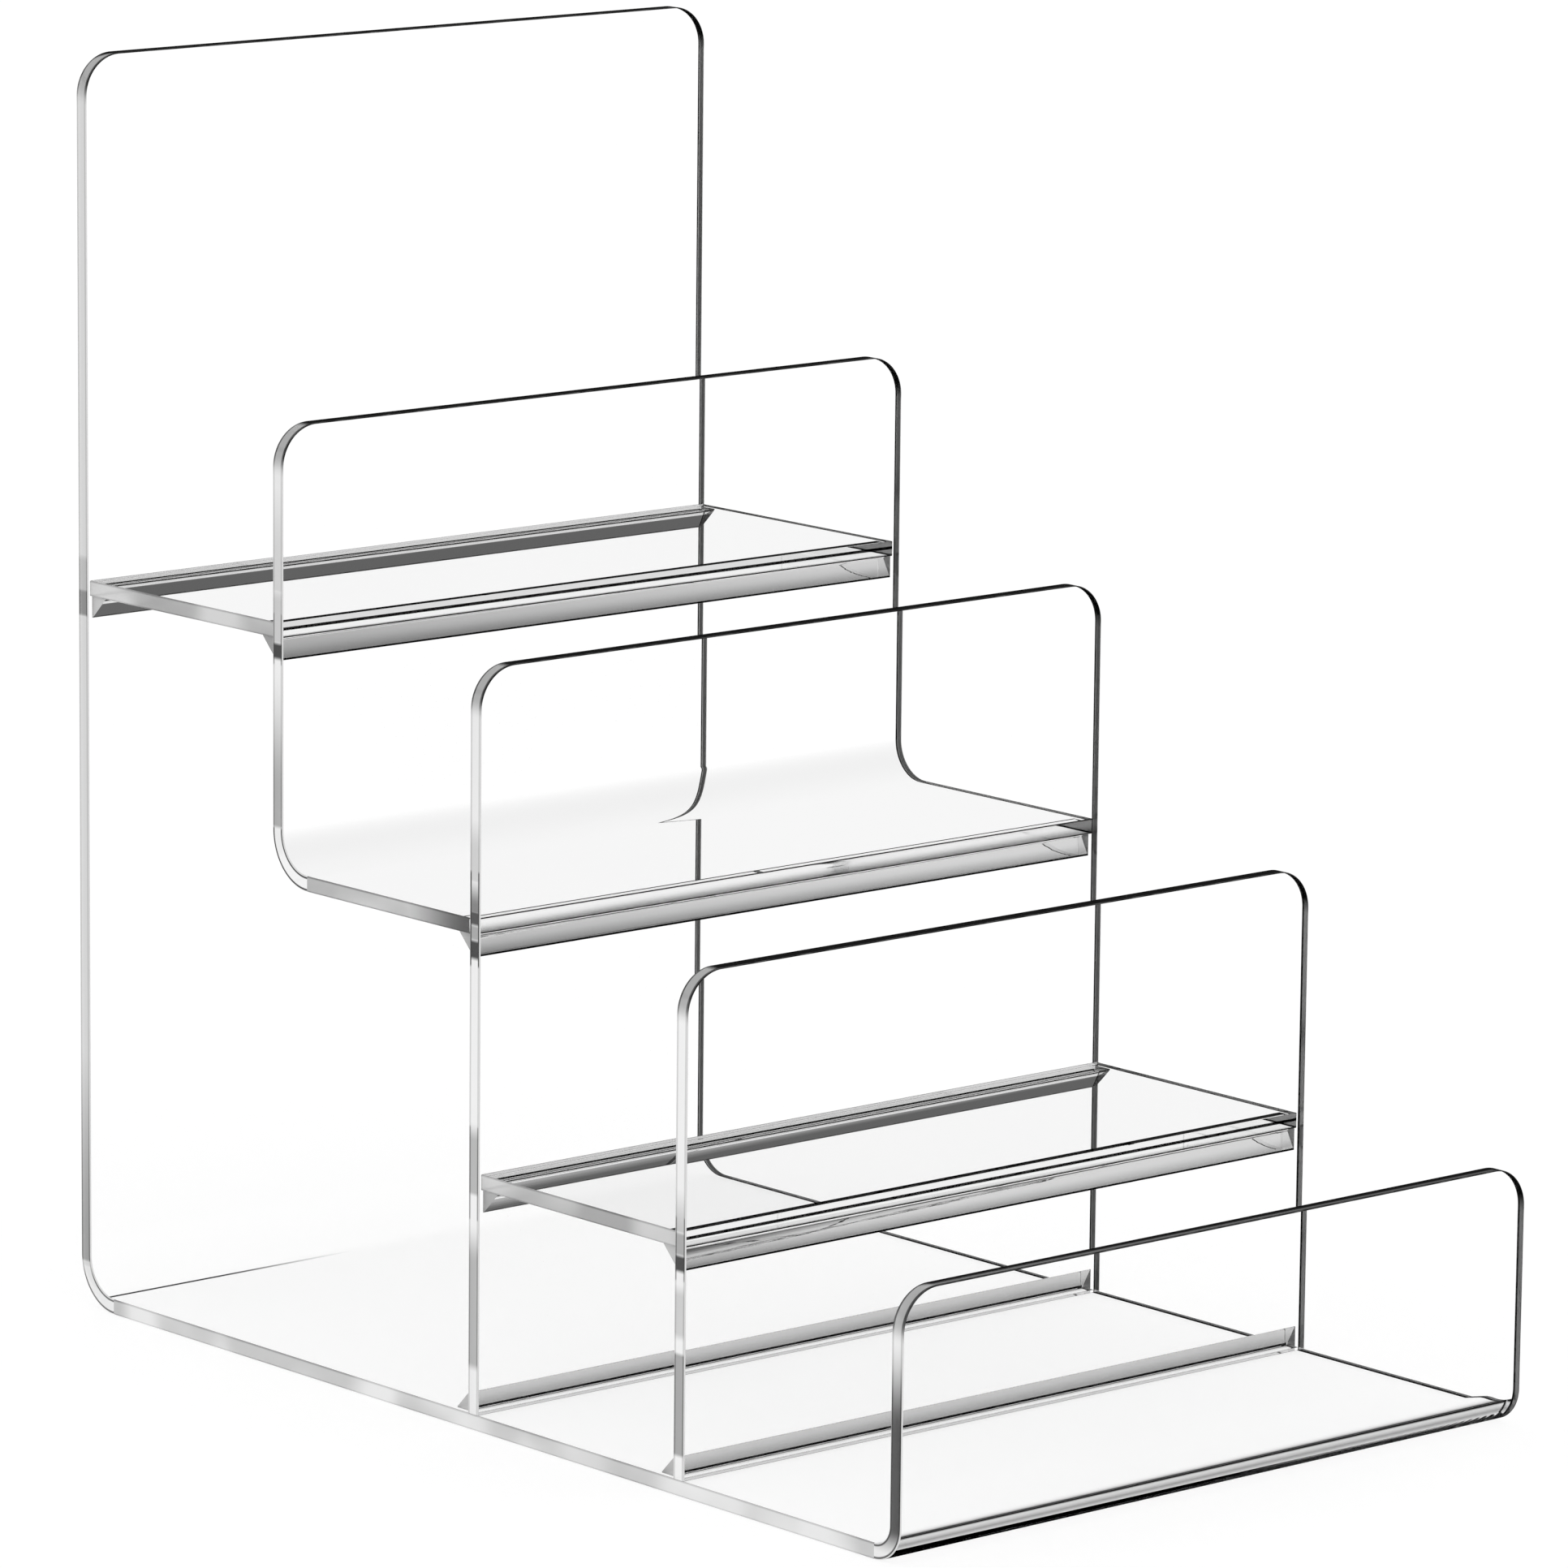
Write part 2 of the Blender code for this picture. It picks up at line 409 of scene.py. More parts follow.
@dataclass(frozen=True)
class ClearFace:
    """A clear polished surface: it bends light, and mirrors it only where all of it turns back."""

    name: str = "clear_face"
    tint: float = 1.0
    speck_tint: float = 0.9
    smudge_roughness: float = 0.02
    streak: tuple[float, float, float] = (40.0, 40.0, 40.0)
    streak_height: float = 0.0
    # Painted shade that darkens the surface along a stored mark, and a painted dark line for light that
    # comes straight through
    shade_mark: str = ""
    shade_start: float = 0.0
    shade_end: float = 1.0
    shade: float = 0.5
    line_mark: str = ""
    line_start: float = 0.9
    line_end: float = 0.95
    line_from: float = 0.0
    line: float = 0.02
    # Painted shade on raised faces, for light that comes straight through: a grey where they lie flat and a
    # deeper grey in a bend
    lying_shade: float = 1.0
    bend: float = 1.0
    raised_start: float = 12.0 * MM
    raised_end: float = 15.0 * MM
    total: float = 0.999
    open_mark: str = ""

    def tone(self, wiring: Wiring, speck: object) -> bpy.types.NodeSocket:
        """Works out the colour that the surface gives to light.

        Args:
            wiring: The material's tree.
            speck: 1 on a speck of dust, else 0.

        Returns:
            The colour.
        """
        colour = wiring.blend(speck, grey(self.tint), grey(self.tint * self.speck_tint))
        # Painted shade along the stored mark
        if self.shade_mark:
            shaded = wiring.fade(wiring.painted(self.shade_mark), self.shade_start, self.shade_end)
            colour = wiring.blend(shaded, colour, grey(self.shade))
        # Painted dark line, only for light that hasn't been mirrored
        if self.line_mark:
            mark = wiring.unsigned(wiring.less(wiring.painted(self.line_mark), self.line_from))
            lined = wiring.fade(mark, self.line_start, self.line_end)
            lined = wiring.times(lined, wiring.had_no("Glossy"))
            colour = wiring.blend(lined, colour, grey(self.line))
        # Painted shade on raised faces that lie flat or turn through a bend, for light that hasn't been
        # mirrored
        if self.lying_shade < 1.0:
            normal = wiring.axes(wiring.node("ShaderNodeNewGeometry").outputs["Normal"])
            lean = wiring.unsigned(normal["Z"])
            middle = wiring.times(lean, wiring.less(1.0, lean), PEAK_GAIN)
            raised = wiring.fade(wiring.place()["Z"], self.raised_start, self.raised_end)
            raised = wiring.times(raised, wiring.had_no("Glossy"))
            colour = wiring.blend(wiring.times(lean, raised), colour, grey(self.lying_shade))
            colour = wiring.blend(wiring.times(middle, raised), colour, grey(self.bend))
        return colour

    def material(self, effects: Effects) -> bpy.types.Material:
        """Returns the finish as a material.

        Args:
            effects: The shared effects.
        """
        material, wiring, mirror = new_material(self.name)
        marks = wiring.node("ShaderNodeGroup", node_tree=effects.handling).outputs
        colour = self.tone(wiring, marks["Speck"])
        surface = {"Roughness": wiring.times(marks["Smudge"], self.smudge_roughness), "IOR": ACRYLIC_IOR}
        bending = wiring.node("ShaderNodeBsdfRefraction", surface | {"Color": colour})
        wiring.fill(mirror, surface | {"Base Color": colour, "Transmission Weight": 1.0})
        fresnel = wiring.node("ShaderNodeFresnel", {"IOR": ACRYLIC_IOR})
        if self.streak_height:
            streaks = wiring.node("ShaderNodeGroup", node_tree=effects.streaks)
            wiring.fill(streaks, {"Stretch": self.streak})
            relief = wiring.relief(streaks.outputs["Streak"], self.streak_height)
            for node in (bending, mirror, fresnel):
                wiring.fill(node, {"Normal": relief})
        shown = wiring.mix(wiring.above(fresnel.outputs[0], self.total), bending, mirror)
        if self.open_mark:
            opened = wiring.times(wiring.painted(self.open_mark), wiring.had_no("Glossy"))
            shown = wiring.mix(opened, shown, wiring.node("ShaderNodeBsdfTransparent", {"Color": colour}))
        wiring.show(shown)
        return material


@dataclass(frozen=True)
class EdgePoint:
    """What a material knows of a point on a sawn edge; each value is a socket or a number."""

    rim: object
    drift: object
    past_corner: object
    along: object
    behind: object


@dataclass(frozen=True)
class EdgeShade:
    """A stretch of painted shade on a sawn edge, where it mirrors a joint, a rod or a bend."""

    low: float
    high: float
    depth: float = 1.0
    soft_low: float = 0.5 * MM
    soft_high: float = 0.5 * MM
    front: float = 1.0
    rear: float = 1.0

    def amount(self, wiring: Wiring, point: EdgePoint) -> bpy.types.NodeSocket:
        """Works out how strong the stretch is at a point.

        Args:
            wiring: The material's tree.
            point: The point.

        Returns:
            The strength, from 0 to 1.
        """
        begun = wiring.fade(point.along, self.low - self.soft_low, self.low + self.soft_low)
        faded = wiring.fade(point.along, self.high + self.soft_high, self.high - self.soft_high)
        share = wiring.math("MULTIPLY_ADD", point.behind, self.rear - self.front, self.front)
        return wiring.times(begun, faded, wiring.times(share, self.depth))


@dataclass(frozen=True)
class InsideLook:
    """How a sawn edge looks through its sheet: the painted shade of its core and rims, and how far it can
    be seen through.
    """

    core: float = 0.14
    rim: float = 0.005
    clear_core: float = 0.22
    clear_rim: float = 0.0


@dataclass(frozen=True)
class PolishedEdge:
    """A sawn and polished edge with painted light and shade: pale from outside, with painted dark stretches
    and outlines, and painted dark from inside and at a glance.
    """

    name: str = "polished_edge"
    pale: float = 0.92
    dark: float = 0.06
    corner: float = 0.42
    outline: float = 0.02
    soft_outline: float = 0.3
    corner_outline: float = 0.9
    shades: tuple[EdgeShade, ...] = ()
    outlined: tuple[EdgeShade, ...] = ()
    shade_axis: str = "Z"
    drift_depth: float = 0.12
    drift_scale: float = 9.0
    drift_start: float = 0.35
    drift_end: float = 0.65
    drifted_core: float = 0.4
    top_inside: float = 0.01
    front_inside: InsideLook = InsideLook()
    rear_inside: InsideLook = InsideLook(core=0.1, rim=0.1, clear_core=0.08, clear_rim=0.45)
    middle_start: float = -50.0 * MM
    middle_end: float = -15.0 * MM
    clear_share: float = 0.1
    roughness: float = 0.12
    inside_roughness: float = 0.5
    outline_start: float = 0.55
    outline_end: float = 0.72
    corner_start: float = 5.6 * MM
    corner_end: float = 9.6 * MM
    streak: tuple[float, float, float] = (60.0, 60.0, 1400.0)
    streak_height: float = 0.004 * MM
    glance_start: float = 0.62
    glance_end: float = 0.78

    def point(self, wiring: Wiring, drift: bpy.types.NodeSocket) -> EdgePoint:
        """Looks up where on the edge a point is.

        Args:
            wiring: The material's tree.
            drift: The slow noise along the edge.

        Returns:
            The point: how near either arris, how far into the drift, past the corner or not,
            where along the edge, and at the riser's front or rear.
        """
        place = wiring.place()
        across = wiring.unsigned(wiring.painted("across"))
        past_corner = 1.0
        if self.corner_end:
            past_corner = wiring.fade(wiring.painted("drop"), self.corner_start, self.corner_end)
        return EdgePoint(
            rim=wiring.fade(across, self.outline_start, self.outline_end),
            drift=wiring.fade(drift, self.drift_start, self.drift_end),
            past_corner=past_corner,
            along=place[self.shade_axis],
            behind=wiring.fade(place["Y"], self.middle_start, self.middle_end),
        )

    def strongest(self, wiring: Wiring, stretches: tuple[EdgeShade, ...], point: EdgePoint) -> object:
        """Returns how strong the strongest of several stretches is at a point."""
        return wiring.largest(0.0, *(stretch.amount(wiring, point) for stretch in stretches))

    def outer_tone(self, wiring: Wiring, point: EdgePoint) -> bpy.types.NodeSocket:
        """Works out the colour that the edge shows to the outside: a pale tone with painted shade, painted
        dark outlines and a painted grey corner.

        Args:
            wiring: The material's tree.
            point: The point of the edge.

        Returns:
            The colour.
        """
        # Painted shade: the strongest painted dark stretch, varied at random by the slow drift, and painted
        # dark outlines at the rims
        shade = self.strongest(wiring, self.shades, point)
        lined = self.strongest(wiring, self.outlined, point)
        shade = wiring.largest(shade, wiring.times(point.drift, self.drift_depth))
        tone = wiring.blend(shade, grey(self.pale), grey(self.dark))
        tone = wiring.blend(point.past_corner, grey(self.corner), tone)
        around = wiring.times(wiring.less(1.0, point.past_corner), self.corner_outline)
        lined = wiring.largest(shade, lined, self.soft_outline, around)
        return wiring.blend(wiring.times(point.rim, lined), tone, grey(self.outline))

    def inner_look(
        self, wiring: Wiring, point: EdgePoint
    ) -> tuple[bpy.types.NodeSocket, bpy.types.NodeSocket]:
        """Works out what the edge shows through its sheet: its painted dark shade.

        Args:
            wiring: The material's tree.
            point: The point of the edge.

        Returns:
            The colour, and how far the edge can be seen through.
        """
        tones = []
        shares = []
        for look in (self.front_inside, self.rear_inside):
            core = wiring.blend(point.drift, grey(look.core), grey(look.core * self.drifted_core))
            tones.append(wiring.blend(point.rim, core, grey(look.rim)))
            further = look.clear_rim - look.clear_core
            shares.append(wiring.math("MULTIPLY_ADD", point.rim, further, look.clear_core))
        tone = wiring.blend(point.behind, *tones)
        share = wiring.times(point.behind, wiring.less(shares[1], shares[0]))
        share = wiring.times(wiring.math("ADD", shares[0], share), point.past_corner)
        return wiring.blend(point.past_corner, grey(self.top_inside), tone), share

    def material(self, effects: Effects) -> bpy.types.Material:
        """Returns the finish as a material.

        Args:
            effects: The shared effects.
        """
        material, wiring, outer = new_material(self.name)
        streaks = wiring.node("ShaderNodeGroup", node_tree=effects.streaks)
        wiring.fill(streaks, {"Stretch": self.streak, "Drift Scale": self.drift_scale})
        relief = wiring.relief(streaks.outputs["Streak"], self.streak_height)
        point = self.point(wiring, streaks.outputs["Drift"])
        surface = {"Normal": relief, "Roughness": self.roughness, "IOR": ACRYLIC_IOR}
        tone = self.outer_tone(wiring, point)
        wiring.fill(outer, surface | {"Base Color": tone, "Transmission Weight": self.clear_share})
        tone, share = self.inner_look(wiring, point)
        matt = {"Base Color": tone, "Roughness": self.inside_roughness, "Specular IOR Level": 0.0}
        inner = wiring.node("ShaderNodeBsdfPrincipled", matt)
        clear = wiring.node("ShaderNodeBsdfPrincipled", surface)
        wiring.fill(clear, {"Base Color": grey(1.0), "Transmission Weight": 1.0})

        # Painted dark from inside the sheet and where the edge is seen at a glance
        facing = wiring.node("ShaderNodeLayerWeight").outputs["Facing"]
        glance = wiring.fade(facing, self.glance_start, self.glance_end)
        inside = wiring.node("ShaderNodeNewGeometry").outputs["Backfacing"]
        shown = wiring.mix(wiring.largest(inside, glance), outer, inner)
        passed = wiring.largest(wiring.had("Glossy"), share)
        shown = wiring.mix(wiring.times(inside, passed), shown, clear)
        wiring.show(shown)
        return material


@dataclass(frozen=True)
class DarkLine:
    """A painted black line, put where total reflection makes a joint, an arris or the tip of a rod look
    dark.
    """

    name: str = "dark_line"
    tone: float = 0.01
    uneven_shade: float = 0.06
    uneven_start: float = 0.45
    uneven_end: float = 0.65
    grain: tuple[float, float, float] = (300.0, 300.0, 300.0)
    roughness: float = 0.3
    sheen: float = 0.1
    pale: float = 0.0
    pale_start: float = 5.5 * MM
    pale_end: float = 10.0 * MM
    clear_after: float = 1.5
    clear_tint: float = 0.97
    clear_roughness: float = 0.1

    def material(self, effects: Effects) -> bpy.types.Material:
        """Returns the finish as a material.

        Args:
            effects: The shared effects.
        """
        material, wiring, dark = new_material(self.name)
        streaks = wiring.node("ShaderNodeGroup", node_tree=effects.streaks)
        wiring.fill(streaks, {"Stretch": self.grain})
        # The painted black line is a little lighter in uneven patches along a fine grain
        uneven_shade = wiring.fade(streaks.outputs["Streak"], self.uneven_start, self.uneven_end)
        colour = wiring.blend(uneven_shade, grey(self.tone), grey(self.uneven_shade))
        # An arris is painted pale from outside, past the rounded corner
        if self.pale:
            outside = wiring.less(1.0, wiring.node("ShaderNodeNewGeometry").outputs["Backfacing"])
            past_corner = wiring.fade(wiring.painted("drop"), self.pale_start, self.pale_end)
            colour = wiring.blend(wiring.times(outside, past_corner), colour, grey(self.pale))
        surface = {"Roughness": self.roughness, "Specular IOR Level": self.sheen}
        wiring.fill(dark, surface | {"Base Color": colour})
        glass = {"Roughness": self.clear_roughness, "IOR": ACRYLIC_IOR, "Transmission Weight": 1.0}
        clear = wiring.node("ShaderNodeBsdfPrincipled", glass | {"Base Color": grey(self.clear_tint)})
        deep = wiring.above(wiring.bounces("Glossy"), self.clear_after)
        wiring.show(wiring.mix(deep, dark, clear))
        return material


@dataclass(frozen=True)
class SheetFinishes:
    """The finishes that a sheet carries."""

    face: bpy.types.Material
    flat_edge: bpy.types.Material
    upright_edge: bpy.types.Material
    arris: bpy.types.Material
    joint: bpy.types.Material
    shelf_front: bpy.types.Material
    joint_line: bpy.types.Material


@dataclass(frozen=True)
class SheetStock:
    """The acrylic sheet that every flat and bent piece is cut from."""

    thickness: float = 3.0 * MM
    corner_radius: float = 8.0 * MM
    corner_steps: int = 24
    edge_break: float = 0.2 * MM
    break_steps: int = 3
    # width of the painted dark line along a cemented end
    joint_line: float = 0.25 * MM
    break_angle: float = math.radians(40.0)
    bend_steps: int = 36


@dataclass(frozen=True)
class HeatBend:
    """One line bend: where it starts on the blank, and how far and how tightly it turns."""

    start: float
    radius: float
    angle: float = RIGHT_ANGLE

    @property
    def length(self) -> float:
        """The length of blank that the bend takes up."""
        return self.radius * self.angle


class Stance(Enum):
    """How a finished sheet stands; the value is its turn about X."""

    LYING = 0.0
    UPRIGHT = RIGHT_ANGLE


def new_geometry_tree(name: str, inputs: dict[str, str]) -> bpy.types.NodeTree:
    """Starts a Geometry Nodes tree that takes a geometry and named inputs, and gives a geometry.

    Args:
        name: The tree's name.
        inputs: The kind of each further input, by its name.

    Returns:
        The tree, without nodes.
    """
    tree = bpy.data.node_groups.new(name, "GeometryNodeTree")
    for label, kind in ({"Geometry": GEOMETRY} | inputs).items():
        tree.interface.new_socket(label, in_out="INPUT", socket_type=kind)
    tree.interface.new_socket("Geometry", in_out="OUTPUT", socket_type=GEOMETRY)
    return tree


def set_inputs(modifier: bpy.types.Modifier, values: dict[str, object]) -> None:
    """Sets a Geometry Nodes modifier's inputs, which it holds by identifier.

    Args:
        modifier: The modifier.
        values: Each input's value, by its name.
    """
    for item in modifier.node_group.interface.items_tree:
        if item.in_out == "INPUT" and item.name in values:
            modifier[item.identifier] = values[item.name]


def bend_zone_tree() -> bpy.types.NodeTree:
    """Builds the rule for one heated line: what lies past its start curls up round it.

    Returns:
        A tree that turns a point's place along the blank and its height.
    """
    tree = bpy.data.node_groups.new("bend_zone", "GeometryNodeTree")
    for label in ("Along", "Height", "Start", "Radius", "Angle"):
        tree.interface.new_socket(label, in_out="INPUT", socket_type=NUMBER)
    for label in ("Along", "Height"):
        tree.interface.new_socket(label, in_out="OUTPUT", socket_type=NUMBER)
    wiring = Wiring(tree)
    given = wiring.node("NodeGroupInput").outputs
    past = wiring.less(given["Along"], given["Start"])
    arc = wiring.times(given["Radius"], given["Angle"])
    heated = wiring.math("MINIMUM", wiring.largest(past, 0.0), arc)
    turned = wiring.math("DIVIDE", heated, given["Radius"])
    beyond = wiring.largest(wiring.less(past, arc), 0.0)
    before = wiring.math("MINIMUM", given["Along"], given["Start"])
    reach = wiring.less(given["Radius"], given["Height"])
    sine = wiring.math("SINE", turned)
    cosine = wiring.math("COSINE", turned)
    along = wiring.math("MULTIPLY_ADD", reach, sine, before)
    along = wiring.math("MULTIPLY_ADD", beyond, cosine, along)
    sunk = wiring.less(given["Radius"], wiring.times(reach, cosine))
    height = wiring.math("MULTIPLY_ADD", beyond, sine, sunk)
    wiring.node("NodeGroupOutput", {"Along": along, "Height": height})
    return tree


# Each finish of a sheet, and the mark on the faces that take it; the later ones win
SHEET_FINISHES = {
    "Face": "",
    "Flat Edge": "sawn_edge",
    "Upright Edge": "upright_edge",
    "Arris": "upright_arris",
    "Start Joint": "cemented_start",
    "End Joint": "cemented_end",
    "Joint Line": "joint_line",
}
BEND_SIZES = ("Start", "Radius", "Angle")
END_FACE = 0.3  # how far along the blank a face has to look to be at its start or end
STANDING = 0.5  # a stance or an angle above this, in radians, means upright
HALF_MARK = 0.5  # what a mesh edge carries of a mark that only one of its two faces has
MARK_SPREAD = 0.1


def mark_sheet(wiring: Wiring, given: bpy.types.bpy_prop_collection) -> bpy.types.NodeSocket:
    """Marks the parts of a flat blank that differ in their finish.

    Args:
        wiring: The tree.
        given: The tree's inputs.

    Returns:
        The marked blank.
    """
    place = wiring.position()
    normal = wiring.normal()
    lean = wiring.unsigned(normal["Z"])
    is_edge = wiring.below(lean, BROAD_FACE)
    is_arris = wiring.times(is_edge, wiring.above(lean, NO_LEAN))
    past_back = wiring.above(place["Y"], given["Back Start"])
    past_back = wiring.times(past_back, wiring.above(given["Back Angle"], 0.0))
    past_front = wiring.below(place["Y"], given["Front Start"])
    past_front = wiring.times(past_front, wiring.above(given["Front Angle"], 0.0))
    stands = wiring.largest(past_back, past_front, given["Stance"])
    at_start = wiring.times(wiring.below(normal["Y"], -END_FACE), given["Start Cemented"])
    at_end = wiring.times(wiring.above(normal["Y"], END_FACE), given["End Cemented"])
    from_middle = wiring.unsigned(place["Z"])
    both_sides = wiring.above(wiring.largest(given["Stance"], given["Back Angle"]), STANDING)
    lower_side = wiring.times(place["Z"], -1.0)
    start_line = wiring.largest(lower_side, wiring.times(from_middle, both_sides))
    start_line = wiring.times(at_start, wiring.above(start_line, given["Line Start"]))
    end_line = wiring.times(at_end, wiring.above(from_middle, given["Line Start"]))
    marks = {
        "sawn_edge": is_edge,
        "upright_edge": wiring.times(is_edge, stands),
        "upright_arris": wiring.times(is_arris, stands),
        "cemented_start": at_start,
        "cemented_end": at_end,
        "joint_line": wiring.largest(start_line, end_line),
    }
    geometry = given["Geometry"]
    for label, value in marks.items():
        geometry = wiring.store(geometry, label, value)
    across = wiring.math("DIVIDE", place["Z"], wiring.times(given["Thickness"], 0.5))
    to_first = wiring.less(place["Y"], given["First End"])
    to_second = wiring.less(given["Second End"], place["Y"])
    geometry = wiring.store(geometry, "across", across, "POINT")
    return wiring.store(geometry, "drop", wiring.math("MINIMUM", to_first, to_second), "POINT")


def bent_sheet_tree() -> bpy.types.NodeTree:
    """Builds the tree that bends a flat blank at both ends, stands it up and dresses it.

    Returns:
        The tree, whose inputs are the two bends, the sheet's place and its finishes.
    """
    inputs = {f"{end} {size}": NUMBER for end in ("Back", "Front") for size in BEND_SIZES}
    inputs |= dict.fromkeys(("Stance", "Thickness", "Line Start", "First End", "Second End"), NUMBER)
    inputs |= {"Start Cemented": NUMBER, "End Cemented": NUMBER, "Place": VECTOR}
    inputs |= {f"{label} Finish": FINISH for label in SHEET_FINISHES}
    tree = new_geometry_tree("bent_sheet", inputs)
    wiring = Wiring(tree)
    given = wiring.node("NodeGroupInput").outputs
    marked = mark_sheet(wiring, given)

    place = wiring.position()
    zone = bend_zone_tree()
    back = wiring.node("GeometryNodeGroup", node_tree=zone)
    wiring.fill(back, {"Along": place["Y"], "Height": place["Z"]})
    wiring.fill(back, {size: given[f"Back {size}"] for size in BEND_SIZES})
    front = wiring.node("GeometryNodeGroup", node_tree=zone)
    wiring.fill(front, {size: given[f"Front {size}"] for size in BEND_SIZES[1:]})
    wiring.feed(front.inputs["Along"], wiring.times(back.outputs["Along"], -1.0))
    wiring.feed(front.inputs["Height"], back.outputs["Height"])
    wiring.feed(front.inputs["Start"], wiring.times(given["Front Start"], -1.0))
    along = wiring.times(front.outputs["Along"], -1.0)
    bent = wiring.vector(X=place["X"], Y=along, Z=front.outputs["Height"])
    moved = wiring.node("GeometryNodeSetPosition", {"Geometry": marked, "Position": bent})
    stood = wiring.node("GeometryNodeTransform", {"Geometry": moved.outputs["Geometry"]})
    wiring.fill(stood, {"Translation": given["Place"], "Rotation": wiring.vector(X=given["Stance"])})

    from_half = wiring.unsigned(wiring.less(wiring.mark("sawn_edge"), HALF_MARK))
    turn = wiring.node("GeometryNodeInputMeshEdgeAngle").outputs["Unsigned Angle"]
    is_border = wiring.largest(wiring.below(from_half, MARK_SPREAD), wiring.above(turn, CRISP_ANGLE))
    smooth = wiring.node("GeometryNodeSetShadeSmooth", {0: stood.outputs["Geometry"]}, domain="FACE")
    crisp = wiring.node("GeometryNodeSetShadeSmooth", {0: smooth.outputs["Geometry"]}, domain="EDGE")
    wiring.fill(crisp, {"Selection": is_border, "Shade Smooth": False})
    geometry = wiring.node("GeometryNodeRealizeInstances", {0: crisp.outputs["Geometry"]}).outputs[0]
    for label, mark in SHEET_FINISHES.items():
        geometry = wiring.dress(geometry, given[f"{label} Finish"], wiring.mark(mark) if mark else True)
    wiring.node("NodeGroupOutput", {"Geometry": geometry})
    return tree


